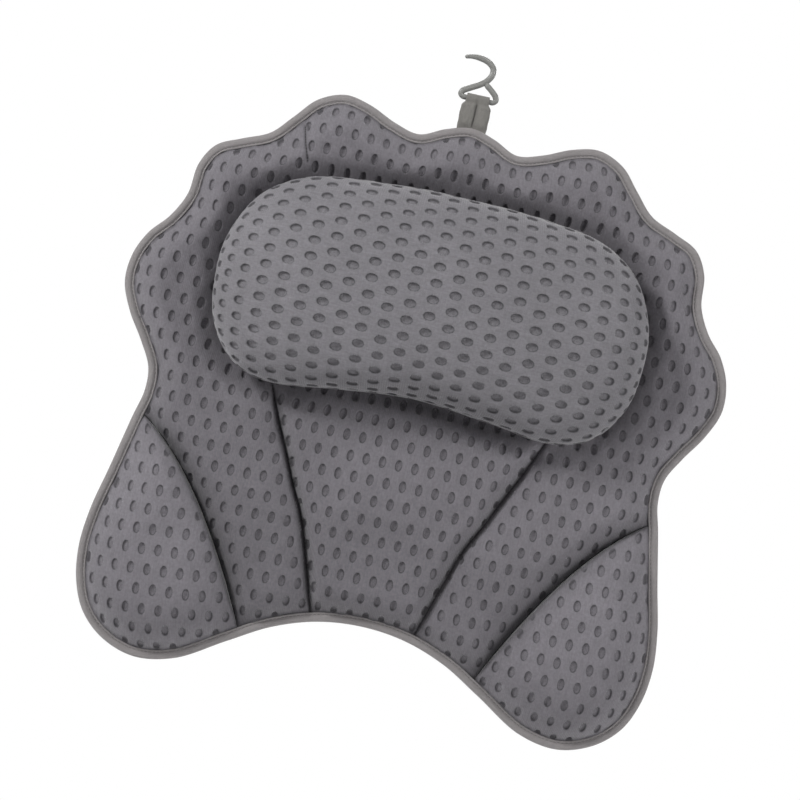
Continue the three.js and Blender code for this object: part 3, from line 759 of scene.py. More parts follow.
def flat_triangles(loop: Points, within: Points, lines: Lines = ()) -> tuple[Points, Points, list[int]]:
    """Triangles over a closed loop and the points in it.

    Args:
        loop: Rows of x, y round the edge.
        within: Rows of x, y in it.
        lines: Open lines whose steps are edges of triangles.

    Returns:
        The points, the triangles turned anticlockwise, and the points round the edge in order.
    """
    everything = [Vector(p) for p in [*loop, *within]]
    edges = []
    for line in lines:
        start = len(everything)
        everything += [Vector(p) for p in line]
        edges += [(start + i, start + i + 1) for i in range(len(line) - 1)]
    found = delaunay_2d_cdt(everything, edges, [list(range(len(loop)))], 1, 1e-5)
    points = np.array([tuple(p) for p in found[0]])
    triangles = np.array([f for f in found[2] if len(f) == 3])
    area = turning(points, triangles)
    triangles[area < 0] = triangles[area < 0][:, ::-1]
    triangles = triangles[np.abs(area) > 1e-7]
    sides = {(int(p), int(q)) for t in triangles for p, q in zip(t, np.roll(t, -1))}
    follows = {p: q for p, q in sides if (q, p) not in sides}
    start = next(iter(follows))
    rim = [start]
    while follows[rim[-1]] != start:
        rim.append(follows[rim[-1]])
    return points, triangles, rim


def close_below(points: Points, triangles: Points, rim: list[int], floor: Points) -> Skin:
    """Closes a sheet with a wall round its edge and a plain underside.

    Args:
        points: Rows of x, y, z of the sheet.
        triangles: Its triangles, facing up.
        rim: Its edge in order.
        floor: Rows of x, y, z for the foot of the wall, one for each point of the edge.

    Returns:
        All the points and faces of the closed solid.
    """
    count = len(points)
    size = len(rim)
    walls = [(rim[(i + 1) % size], rim[i], count + i, count + (i + 1) % size) for i in range(size)]
    below = delaunay_2d_cdt([Vector(p[:2]) for p in floor], [], [list(range(size))], 1, 1e-6)
    under = np.array([source[0] for source in below[3]])[np.array(below[2])]
    up = turning(floor, under) > 0
    under[up] = under[up][:, [0, 2, 1]]
    return np.vstack([points, floor]), [*triangles.tolist(), *walls, *(under + count).tolist()]


def quads(rows: int, count: int, joined: bool = False, round_: bool = True) -> Faces:
    """Faces between rows of points.

    Args:
        rows: How many rows there are.
        count: How many points are in each.
        joined: Whether the last row meets the first.
        round_: Whether each row is a ring.

    Returns:
        Four corners for each face.
    """
    faces = []
    for here in range(rows if joined else rows - 1):
        there = (here + 1) % rows
        for i in range(count if round_ else count - 1):
            j = (i + 1) % count
            faces.append((here * count + i, here * count + j, there * count + j, there * count + i))
    return faces


def lofted(rings: Points, joined: bool = False) -> Skin:
    """A skin through rings of points, capped at both ends unless it is a ring of rings.

    Args:
        rings: Array of ring by point by coordinate.
        joined: Whether the last ring meets the first.

    Returns:
        The points and faces.
    """
    rows, count = rings.shape[:2]
    faces = quads(rows, count, joined)
    if not joined:
        faces += [tuple(range(count))[::-1], tuple(range((rows - 1) * count, rows * count))]
    return rings.reshape(-1, 3), faces


# Node trees


class TreeWriter:
    """Writes nodes and links in one tree."""

    def __init__(self, tree: bpy.types.NodeTree) -> None:
        """Takes the tree to write in."""
        self.tree = tree

    def give(self, node: Node, inputs: dict) -> None:
        """Links or sets a node's inputs.

        Args:
            node: The node.
            inputs: A socket to link or a value to set, by the name or number of the node's socket.
        """
        for key, value in inputs.items():
            if isinstance(value, Socket):
                self.tree.links.new(value, node.inputs[key])
            else:
                node.inputs[key].default_value = value

    def add(self, kind: str, inputs: dict | None = None, **settings: object) -> bpy.types.NodeOutputs:
        """Adds a node.

        Args:
            kind: The node's type.
            inputs: Its inputs, as give() takes them.
            settings: Properties of the node.

        Returns:
            The node's outputs.
        """
        node = self.tree.nodes.new(kind)
        for name, value in settings.items():
            setattr(node, name, value)
        self.give(node, inputs or {})
        return node.outputs

    def math(self, operation: str, *values: object) -> Socket:
        """The result of a Math node on up to three sockets or numbers."""
        return self.add("ShaderNodeMath", dict(enumerate(values)), operation=operation)[0]

    def times(self, colour: object, other: object) -> Socket:
        """A colour multiplied by another one or by a level."""
        inputs = {0: 1.0, 6: colour, 7: other}
        return self.add("ShaderNodeMix", inputs, data_type="RGBA", blend_type="MULTIPLY")[2]

    def grey(self, level: Socket) -> Socket:
        """A level as a grey colour."""
        return self.add("ShaderNodeCombineXYZ", {0: level, 1: level, 2: level})[0]

    def ranged(self, value: Socket, low: float, high: float, start: float, end: float) -> Socket:
        """A value brought from the range of low to high to the range of start to end."""
        return self.add("ShaderNodeMapRange", {0: value, 1: low, 2: high, 3: start, 4: end})[0]

    def noise(self, place: Socket, scale: float, detail: float = 2.0) -> Socket:
        """Noise at a place."""
        return self.add("ShaderNodeTexNoise", {"Vector": place, "Scale": scale, "Detail": detail})[0]

    def wave(self, place: Socket, direction: str, scale: float, distortion: float, **more: float) -> Socket:
        """Even waves that follow each other in a direction."""
        inputs = {"Vector": place, "Scale": scale, "Distortion": distortion, **more}
        return self.add("ShaderNodeTexWave", inputs, bands_direction=direction)["Fac"]

    def bump(self, height: Socket, strength: float, distance: float) -> Socket:
        """The normal of a surface that is raised by a height."""
        return self.add("ShaderNodeBump", {"Strength": strength, "Distance": distance, "Height": height})[0]


class PieceTree(TreeWriter):
    """Writes a Geometry Nodes tree that takes a mesh, sizes and a material."""

    def __init__(self, name: str, sizes: dict[str, float]) -> None:
        """Starts the tree.

        Args:
            name: The tree's name.
            sizes: The default value of each named input.
        """
        super().__init__(bpy.data.node_groups.new(name, "GeometryNodeTree"))
        self.tree.is_modifier = True
        new = self.tree.interface.new_socket
        new("Geometry", in_out="OUTPUT", socket_type="NodeSocketGeometry")
        new("Geometry", in_out="INPUT", socket_type="NodeSocketGeometry")
        for label, value in sizes.items():
            new(label, in_out="INPUT", socket_type="NodeSocketFloat").default_value = value
        new("Material", in_out="INPUT", socket_type="NodeSocketMaterial")
        self.given = self.add("NodeGroupInput")

    def finish(self, geometry: Socket) -> None:
        """Ends the tree with its geometry made real and given its material.

        Args:
            geometry: What the tree has made.
        """
        real = self.add("GeometryNodeRealizeInstances", {0: geometry})[0]
        dressed = self.add("GeometryNodeSetMaterial", {"Geometry": real, "Material": self.given["Material"]})
        self.add("NodeGroupOutput", {0: dressed[0]})


def perforation_tree() -> None:
    """Makes the tree that presses a centred grid of oval holes into cloth.

    It reads the cloth's own coordinates from the attribute "fabric" and how open the cloth is from
    "open", pushes the points of each hole in along the surface's normal, and writes "pit".
    """
    sizes = {"Cell Width": 0.01125, "Cell Height": 0.028, "Hole Width": 0.0048, "Hole Length": 0.0073}
    looks = {"Depth": 0.0015, "Softness": 0.08, "Unevenness": 0.1, "Seed": 0.0}
    tree = PieceTree("Perforations", {**sizes, **looks})
    given, calc = tree.given, tree.math
    fabric, opened = (
        tree.add("GeometryNodeInputNamedAttribute", {"Name": name}, data_type="FLOAT_VECTOR")[0]
        for name in ("fabric", "open")
    )
    place = tree.add("ShaderNodeSeparateXYZ", {0: fabric})
    holes = [(given["Cell Width"], given["Hole Width"]), (given["Cell Height"], given["Hole Length"])]
    ovals = []
    for shift in (0.0, 0.5):
        squares = []
        for axis, (cell, hole) in enumerate(holes):
            moved = calc("ADD", calc("DIVIDE", place[axis], cell), shift)
            off = calc("MULTIPLY", calc("SUBTRACT", moved, calc("ROUND", moved)), cell)
            share = calc("DIVIDE", off, calc("DIVIDE", hole, 2.0))
            squares.append(calc("MULTIPLY", share, share))
        ovals.append(calc("SQRT", calc("ADD", *squares)))
    noise = tree.add(
        "ShaderNodeTexNoise",
        {"Vector": fabric, "Scale": 55.0, "Detail": 1.0, "W": given["Seed"]},
        noise_dimensions="4D",
    )[0]
    uneven = calc("MULTIPLY", calc("SUBTRACT", noise, 0.5), given["Unevenness"])
    edge = tree.add(
        "ShaderNodeMapRange",
        {
            "Value": calc("ADD", calc("MINIMUM", *ovals), uneven),
            "From Min": calc("ADD", 1.0, given["Softness"]),
            "From Max": calc("MULTIPLY_ADD", given["Softness"], -3.0, 1.0),
        },
        interpolation_type="SMOOTHSTEP",
    )[0]
    pit = calc("MULTIPLY", edge, tree.add("ShaderNodeSeparateXYZ", {0: opened})[0])
    depth = calc("MULTIPLY", calc("MULTIPLY", pit, given["Depth"]), -1.0)
    normal = tree.add("GeometryNodeInputNormal")[0]
    push = tree.add("ShaderNodeVectorMath", {0: normal, "Scale": depth}, operation="SCALE")[0]
    stored = tree.add(
        "GeometryNodeStoreNamedAttribute",
        {"Geometry": given["Geometry"], "Name": "pit", "Value": pit},
        data_type="FLOAT",
        domain="POINT",
    )[0]
    tree.finish(tree.add("GeometryNodeSetPosition", {"Geometry": stored, "Offset": push})[0])


def stitch_tree() -> None:
    """Makes the tree that lays stitches along a line of edges, lengthwise."""
    tree = PieceTree("Stitches", {"Spacing": 0.0034, "Stitch Length": 0.0026, "Thread Width": 0.0006})
    given = tree.given
    curve = tree.add("GeometryNodeMeshToCurve", {0: given["Geometry"]})[0]
    spacing = {"Curve": curve, "Length": given["Spacing"]}
    even = tree.add("GeometryNodeResampleCurve", spacing, mode="LENGTH")[0]
    tangent = tree.add("GeometryNodeInputTangent")[0]
    turn = tree.add("FunctionNodeAlignRotationToVector", {"Vector": tangent}, axis="X")[0]
    bead = tree.add("GeometryNodeMeshUVSphere", {"Segments": 6, "Rings": 5, "Radius": 0.5})[0]
    width = given["Thread Width"]
    size = tree.add("ShaderNodeCombineXYZ", {0: width, 1: width, 2: given["Stitch Length"]})[0]
    standing = tree.add("GeometryNodeTransform", {"Geometry": bead, "Scale": size})[0]
    lying = tree.add("GeometryNodeTransform", {"Geometry": standing, "Rotation": (0.0, math.pi / 2, 0.0)})[0]
    laid = tree.add("GeometryNodeInstanceOnPoints", {"Points": even, "Instance": lying, "Rotation": turn})[0]
    tree.finish(tree.add("GeometryNodeSetShadeSmooth", {"Geometry": laid})[0])


# Finishes


def tone(colour: tuple[float, float, float]) -> tuple[float, float, float, float]:
    """A colour of 0 to 255 as the linear colour that a shader takes."""
    shares = [value / 255 for value in colour]
    return (*(s / 12.92 if s <= 0.04045 else ((s + 0.055) / 1.055) ** 2.4 for s in shares), 1.0)


@dataclass(frozen=True)
class Finish:
    """A finish: its colour, its roughness and what its nodes add."""

    name: str
    colour: tuple[float, float, float]
    roughness: float = 0.85

    # Share of the colour that the painted crease shade leaves on a seam's line
    painted_crease_shade = 0.52

    def material(self) -> bpy.types.Material:
        """The finish's material, made once.

        Returns:
            The material.
        """
        made = bpy.data.materials.get(self.name)
        if made is None:
            made = bpy.data.materials.new(self.name)
            made.use_nodes = True
            surface = made.node_tree.nodes["Principled BSDF"]
            surface.inputs["Roughness"].default_value = self.roughness
            self.dress(TreeWriter(made.node_tree), surface)
        return made

    def dress(self, writer: TreeWriter, surface: Node) -> None:
        """Adds the finish's nodes.

        Args:
            writer: The writer of the material's tree.
            surface: Its surface shader.
        """
        raise NotImplementedError

    def mottled(self, writer: TreeWriter, place: Socket, layers: Layers) -> Socket:
        """The finish's colour, varied by layers of noise and darkened by the painted shade in the attribute
        "seams".

        Args:
            writer: The writer of the material's tree.
            place: Where the noise is read.
            layers: For each layer its scale, its stretch along the axes, and how much it changes the colour.

        Returns:
            The colour's socket.
        """
        level: object = 1.0
        for scale, stretch, amount in layers:
            placed = writer.add("ShaderNodeMapping", {"Vector": place, "Scale": stretch})[0]
            swing = writer.ranged(writer.noise(placed, scale, 3.0), 0.25, 0.75, 1.0 - amount, 1.0 + amount)
            level = writer.math("MULTIPLY", level, swing)
        # Painted shade: a dark line along each seam, and a darkening by the first value of "seams"
        seams = writer.add("ShaderNodeAttribute", attribute_name="seams")["Vector"]
        painted_shade = writer.add("ShaderNodeSeparateXYZ", {0: seams})
        line = writer.ranged(painted_shade[1], 0.0183, 0.02, 1.0, self.painted_crease_shade)
        level = writer.math("MULTIPLY", level, line)
        level = writer.math("MULTIPLY", level, writer.math("SUBTRACT", 1.0, painted_shade[0]))
        return writer.times(tone(self.colour), writer.grey(level))

    def coloured(self, writer: TreeWriter, surface: Node, *layers: tuple[float, float]) -> Socket:
        """Gives a surface the mottled colour by its place.

        Args:
            writer: The writer of the material's tree.
            surface: Its surface shader.
            layers: For each layer of noise its scale and how much it changes the colour.

        Returns:
            The place's socket.
        """
        place = writer.add("ShaderNodeTexCoord")["Object"]
        even = [(scale, EVEN, amount) for scale, amount in layers]
        writer.give(surface, {"Base Color": self.mottled(writer, place, even)})
        return place


@dataclass(frozen=True)
class MeshKnit(Finish):
    """Soft mesh knit with fine ribs, darker inside its holes, with painted shade on the holes' walls."""

    rib: float = 0.0012
    course: float = 0.0009
    pit_share: float = 0.96
    painted_rim_shade: float = 0.55
    sheen: float = 0.5
    streaks: tuple[float, float, float] = (7.0, 1.0, 1.0)

    def dress(self, writer: TreeWriter, surface: Node) -> None:
        """Adds ribs, mottling, painted shade on the holes' walls and the holes' dark net.

        Args:
            writer: The writer of the material's tree.
            surface: Its surface shader.
        """
        fabric = writer.add("ShaderNodeAttribute", attribute_name="fabric")["Vector"]
        pit = writer.add("ShaderNodeAttribute", attribute_name="pit")["Fac"]
        layers = ((18.0, EVEN, 0.06), (90.0, EVEN, 0.06), (130.0, self.streaks, 0.1), (520.0, EVEN, 0.12))
        # Painted shade on the holes' walls, where the pit is half deep
        rim = writer.math("MULTIPLY", pit, writer.math("SUBTRACT", 1.0, pit))
        shade = writer.math("MULTIPLY_ADD", rim, -4.0 * self.painted_rim_shade, 1.0)
        cloth = writer.times(self.mottled(writer, fabric, layers), writer.grey(shade))
        dark = writer.times(cloth, (self.pit_share,) * 3 + (1.0,))
        cells = {"Vector": fabric, "Scale": 1100.0}
        inner = writer.add("ShaderNodeTexVoronoi", cells, feature="DISTANCE_TO_EDGE")[0]
        netted = writer.times(dark, writer.ranged(inner, 0.0, 0.25, 1.1, 0.84))
        ribs = writer.wave(fabric, "X", WAVES / self.rib, 1.2, **{"Detail": 1.0, "Detail Scale": 2.0})
        courses = writer.wave(fabric, "Y", WAVES / self.course, 0.8, Detail=1.0)
        woven = writer.math("MULTIPLY", ribs, courses)
        height = writer.math("ADD", woven, writer.noise(fabric, 1500.0))
        writer.give(
            surface,
            {
                "Base Color": writer.add("ShaderNodeMix", {0: pit, 6: cloth, 7: netted}, data_type="RGBA")[2],
                "Normal": writer.bump(height, 0.55, 0.0003),
                "Sheen Weight": self.sheen,
                "Sheen Roughness": 0.4,
                "Specular IOR Level": 0.25,
            },
        )


@dataclass(frozen=True)
class WovenTape(Finish):
    """Fine woven tape with a soft nap."""

    roughness: float = 0.9
    thread: float = 0.0007

    def dress(self, writer: TreeWriter, surface: Node) -> None:
        """Adds the weave and mottling.

        Args:
            writer: The writer of the material's tree.
            surface: Its surface shader.
        """
        place = self.coloured(writer, surface, (30.0, 0.07), (260.0, 0.06), (1400.0, 0.08))
        turned = writer.add("ShaderNodeMapping", {"Vector": place, "Rotation": (0, math.radians(45), 0)})[0]
        warp, weft = (writer.wave(turned, way, WAVES / self.thread, 0.6) for way in "XZ")
        woven = writer.math("MAXIMUM", warp, weft)
        height = writer.math("MULTIPLY_ADD", writer.noise(place, 330.0, 4.0), 3.0, woven)
        writer.give(
            surface,
            {
                "Normal": writer.bump(height, 0.5, 0.0003),
                "Sheen Weight": 0.2,
                "Sheen Roughness": 0.5,
                "Specular IOR Level": 0.25,
            },
        )


@dataclass(frozen=True)
class SewingThread(Finish):
    """Twisted polyester thread."""

    def dress(self, writer: TreeWriter, surface: Node) -> None:
        """Adds the twist.

        Args:
            writer: The writer of the material's tree.
            surface: Its surface shader.
        """
        place = self.coloured(writer, surface, (700.0, 0.12), (60.0, 0.06))
        twist = writer.wave(place, "DIAGONAL", 900.0, 1.0)
        writer.give(surface, {"Normal": writer.bump(twist, 0.3, 0.0001), "Sheen Weight": 0.1})


@dataclass(frozen=True)
class MouldedPlastic(Finish):
    """Satin moulded plastic with a faint flow and scuffs."""

    def dress(self, writer: TreeWriter, surface: Node) -> None:
        """Adds uneven gloss and small dents.

        Args:
            writer: The writer of the material's tree.
            surface: Its surface shader.
        """
        place = self.coloured(writer, surface, (120.0, 0.05), (900.0, 0.04))
        scuff = writer.noise(place, 700.0, 4.0)
        gloss = writer.ranged(scuff, 0.3, 0.7, self.roughness - 0.08, self.roughness + 0.12)
        writer.give(surface, {"Roughness": gloss, "Normal": writer.bump(scuff, 0.15, 0.0002)})


@dataclass(frozen=True)
class ClearVinyl(Finish):
    """Clear soft vinyl, a little cloudy."""

    def dress(self, writer: TreeWriter, surface: Node) -> None:
        """Adds cloudiness and flow marks.

        Args:
            writer: The writer of the material's tree.
            surface: Its surface shader.
        """
        flow = writer.noise(self.coloured(writer, surface, (90.0, 0.03)), 160.0)
        cloud = writer.ranged(flow, 0.3, 0.7, self.roughness, self.roughness + 0.14)
        writer.give(surface, {"Roughness": cloud, "Normal": writer.bump(flow, 0.1, 0.0004)})
        writer.give(surface, {"Transmission Weight": 0.7, "IOR": 1.5})


MAT_KNIT = MeshKnit("mat knit", (120, 117, 122))
CUSHION_KNIT = MeshKnit("cushion knit", (124, 122, 126), rib=0.0016, sheen=0.45, streaks=(1.0, 7.0, 1.0))
BACK_KNIT = MeshKnit("back knit", (108, 106, 109), rib=0.0018, course=0.0018, sheen=0.15)
EDGE_TAPE = WovenTape("edge tape", (143, 139, 139))
PATCH_TAPE = WovenTape("patch cloth", (118, 115, 115), thread=0.001)
LOOP_TAPE = WovenTape("loop tape", (124, 122, 118), thread=0.0009)
# Near-black seam thread: partly the thread's own colour, partly painted shade of the creases that it lies in
SEAM_THREAD_AND_SHADE = SewingThread("seam thread", (30, 29, 31))
EDGE_THREAD = SewingThread("edge thread", (112, 108, 108))
HOOK_PLASTIC = MouldedPlastic("hook plastic", (127, 127, 124), 0.3)
CUP_VINYL = ClearVinyl("cup vinyl", (224, 231, 233), 0.08)


# Padding and cloth


@dataclass(frozen=True)
class Lattice:
    """A centred grid of oval holes in the cloth's own coordinates."""

    cell_width: float
    cell_height: float
    hole_width: float
    hole_length: float
    depth: float
    phase: tuple[float, float]

    shifts = (0.0, 0.5)
    ring_shares = (1.15, 1.04, 0.93, 0.8)
    floor_share = 0.45
    ring_sides = 14

    def centres(self, loop: Points) -> Points:
        """Centres of the holes over the box round a loop.

        Args:
            loop: Rows of x, y.

        Returns:
            Rows of x, y.
        """
        cell = np.array((self.cell_width, self.cell_height))
        low = np.floor((loop.min(axis=0) - cell) / cell)
        high = (loop.max(axis=0) + cell) / cell
        found = []
        for shift in self.shifts:
            grid = np.meshgrid(*(np.arange(low[k], high[k]) + shift for k in range(2)))
            found.append(np.stack(grid, axis=-1).reshape(-1, 2) * cell)
        return np.vstack(found)

    def rings(self, centres: Points) -> Points:
        """Points on and round the rims of the holes at some centres, and in their middles.

        Args:
            centres: Rows of x, y.

        Returns:
            Rows of x, y.
        """
        angles = turns(self.ring_sides)
        oval = np.stack([np.cos(angles) * self.hole_width / 2, np.sin(angles) * self.hole_length / 2], axis=1)
        parts = [centres[:, None] + oval[None] * share for share in self.ring_shares]
        parts += [centres[:, None] + oval[None, ::2] * self.floor_share, centres[:, None]]
        return np.concatenate([part.reshape(-1, 2) for part in parts])

    def off(self, points: Points) -> Points:
        """How far points lie from the nearest hole's middle.

        Args:
            points: Rows of x, y.

        Returns:
            The distances, where a hole's rim is 1.
        """
        cell = (self.cell_width, self.cell_height)
        best = np.full(len(points), np.inf)
        for shift in self.shifts:
            share = points / cell + shift
            gap = (share - np.round(share)) * cell
            far = np.hypot(gap[:, 0] * 2 / self.hole_width, gap[:, 1] * 2 / self.hole_length)
            best = np.minimum(best, far)
        return best

    def values(self, finish: Finish) -> dict[str, object]:
        """What the perforation tree's inputs are set to.

        Args:
            finish: The cloth's finish.

        Returns:
            A value for each input's name.
        """
        sizes = {
            "Cell Width": self.cell_width,
            "Cell Height": self.cell_height,
            "Hole Width": self.hole_width,
            "Hole Length": self.hole_length,
            "Depth": self.depth,
        }
        return {**{name: size * MM for name, size in sizes.items()}, "Material": finish.material()}


@dataclass(frozen=True)
class Stuffing:
    """Padding that presses its cloth outwards between pinned seams."""

    pressure: float = 4.0
    frames: int = 20
    slack: float = 0.03
    cap: float = 3.0
    rounds: int = 2

    def settle(self, name: str, points: Points, faces: Points, pins: Points) -> Points:
        """Runs the cloth under pressure.

        Args:
            name: A name for the working copy.
            points: Rows of x, y, z in millimetres.
            faces: Its faces.
            pins: Whether each point is sewn down.

        Returns:
            How far each point moved, in millimetres, no further than the cap.
        """
        sheet = make_object(name + "_settling", upright(points), faces)
        group = sheet.vertex_groups.new(name="sewn")
        group.add([int(i) for i in np.flatnonzero(pins)], 1.0, "REPLACE")
        cloth = sheet.modifiers.new("Settling", "CLOTH")
        for setting, value in CLOTH_SETTINGS.items():
            setattr(cloth.settings, setting, value)
        cloth.settings.uniform_pressure_force = self.pressure
        cloth.settings.shrink_min = -self.slack
        cloth.settings.effector_weights.gravity = 0.0
        cloth.collision_settings.use_collision = False
        cloth.point_cache.frame_start = 1
        cloth.point_cache.frame_end = self.frames
        scene = bpy.context.scene
        for step in range(1, self.frames + 1):
            scene.frame_set(step)
        moved = read(bake_modifiers(sheet)) / MM
        shift = np.stack([moved[:, 0], moved[:, 2], -moved[:, 1]], axis=1) - points
        mesh = sheet.data
        bpy.data.objects.remove(sheet)
        bpy.data.meshes.remove(mesh)
        scene.frame_set(1)
        for _ in range(self.rounds):
            shift = self.softened(shift, faces, pins)
        length = np.linalg.norm(shift, axis=1)[:, None]
        log.info("%s settled by up to %.1f mm", name, float(length.max()))
        return shift * np.tanh(length / self.cap) * self.cap / np.maximum(length, 1e-6)

    def softened(self, shift: Points, faces: Points, pins: Points) -> Points:
        """Evens out how far neighbouring points moved.

        Args:
            shift: How far each point moved.
            faces: The sheet's triangles.
            pins: Whether each point is sewn down, and so is held.

        Returns:
            The new distances.
        """
        total = shift.copy()
        share = np.ones(len(shift))
        for a, b in ((0, 1), (1, 0), (1, 2), (2, 1), (2, 0), (0, 2)):
            np.add.at(total, faces[:, a], shift[faces[:, b]])
            np.add.at(share, faces[:, a], 1)
        total /= share[:, None]
        total[pins] = 0
        return total


class Carried:
    """Carries values from the points of a coarse flat sheet to any place on it."""

    def __init__(self, flat: Points, faces: Points, values: Points) -> None:
        """Takes the sheet.

        Args:
            flat: Rows of x, y.
            faces: Its triangles.
            values: A row of values for each point.
        """
        self.flat = flat
        self.faces = faces
        self.values = values
        self.tree = BVHTree.FromPolygons(at_level(flat, 0.0).tolist(), faces.tolist())

    def at(self, points: Points) -> Points:
        """The values at any places.

        Args:
            points: Rows of x, y.

        Returns:
            A row of values for each.
        """
        found = np.empty((len(points), self.values.shape[1]))
        for i, (x, y) in enumerate(points):
            place, _, index, _ = self.tree.find_nearest((x, y, 0.0))
            a, b, c = self.faces[index]
            (ax, ay), (bx, by), (cx, cy) = self.flat[a], self.flat[b], self.flat[c]
            whole = (bx - ax) * (cy - ay) - (by - ay) * (cx - ax)
            u = ((bx - place.x) * (cy - place.y) - (by - place.y) * (cx - place.x)) / whole
            v = ((cx - place.x) * (ay - place.y) - (cy - place.y) * (ax - place.x)) / whole
            found[i] = self.values[a] * u + self.values[b] * v + self.values[c] * (1 - u - v)
        return found


@dataclass(frozen=True)
class PerforatedPad:
    """What the padded, perforated pieces share."""

    lattice: Lattice
    stuffing: Stuffing
    spacing: float
    coarse: float

    def cloth_points(self, loop: Points, pierced: Test) -> Points:
        """Points for a perforated sheet: rings round its holes and a grid between them.

        Args:
            loop: The sheet's edge, in the cloth's own coordinates.
            pierced: Tells for rows of x, y whether holes are wanted there.

        Returns:
            Rows of x, y, clear of the edge.
        """
        centres = self.lattice.centres(loop)
        rings = self.lattice.rings(centres[pierced(centres)])
        grid = triangular(loop, self.spacing)
        grid = grid + np.sin(grid[:, ::-1] * (12.9898, 78.233)) * self.spacing * 0.06
        between = self.lattice.off(grid) > 1.16 + 0.5 * self.spacing / self.lattice.hole_width
        return clear_of(np.vstack([rings, grid[between | ~pierced(grid)]]), loop, 0.7)

    def pierce(self, piece: Piece, fabric: Points, opened: Points, painted_shade: Points, finish: Finish) -> Piece:
        """Writes what the cloth's nodes read, and presses the holes in.

        Args:
            piece: The closed pad.
            fabric: The cloth's own coordinates at each of its points.
            opened: How open the cloth is at the first of them. The others are shut.
            painted_shade: How much darker each point is, and how near the next seam is.
            finish: The cloth's finish.

        Returns:
            The piece.
        """
        store(piece, "fabric", fabric * MM)
        store(piece, "open", opened)
        # The attribute "seams" carries the painted shade that the finish darkens the cloth by
        store(piece, "seams", painted_shade)
        return run_tree(piece, bpy.data.node_groups["Perforations"], self.lattice.values(finish))


def fold_ends(side: Side, still: float = 0.0056, full: float = 0.023) -> tuple[Vector, Vector]:
    """The points between which the cloth goes over from the mat to a wing.

    Args:
        side: The wing's side.
        still: How far from the fold's axis the cloth still lies with the mat.
        full: How far from it the cloth lies wholly with the wing.

    Returns:
        The two points.
    """
    joints = frame["record"]["behaviour"]["joints"]
    joint = next(j for j in joints if j["name"] == side.wing + "_fold")
    place = Vector(joint["pos_m"])
    axis = Vector(joint["axis"])
    across = Vector((-axis.z, 0.0, axis.x)).normalized()
    return place + across * still, place + across * full


def settle_piece(
    piece: Piece,
    body: str,
    nodes: Sequence[str] = (),
    ends: tuple[Vector, Vector] | None = None,
) -> None:
    """Hands a finished piece to the frame.

    Args:
        piece: The piece, in place.
        body: The body that it rides on.
        nodes: The CAD nodes that it stands for.
        ends: Where it goes over from the mat to that body, if it does. Such a piece is only baked in place
            and not attached to the body.
    """
    if ends is None:
        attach(piece, body)
    else:
        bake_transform(piece)
    if nodes:
        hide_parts(*nodes)
    log.info("%s: %d faces, on %s", piece.name, len(piece.data.polygons), body)


# The mat


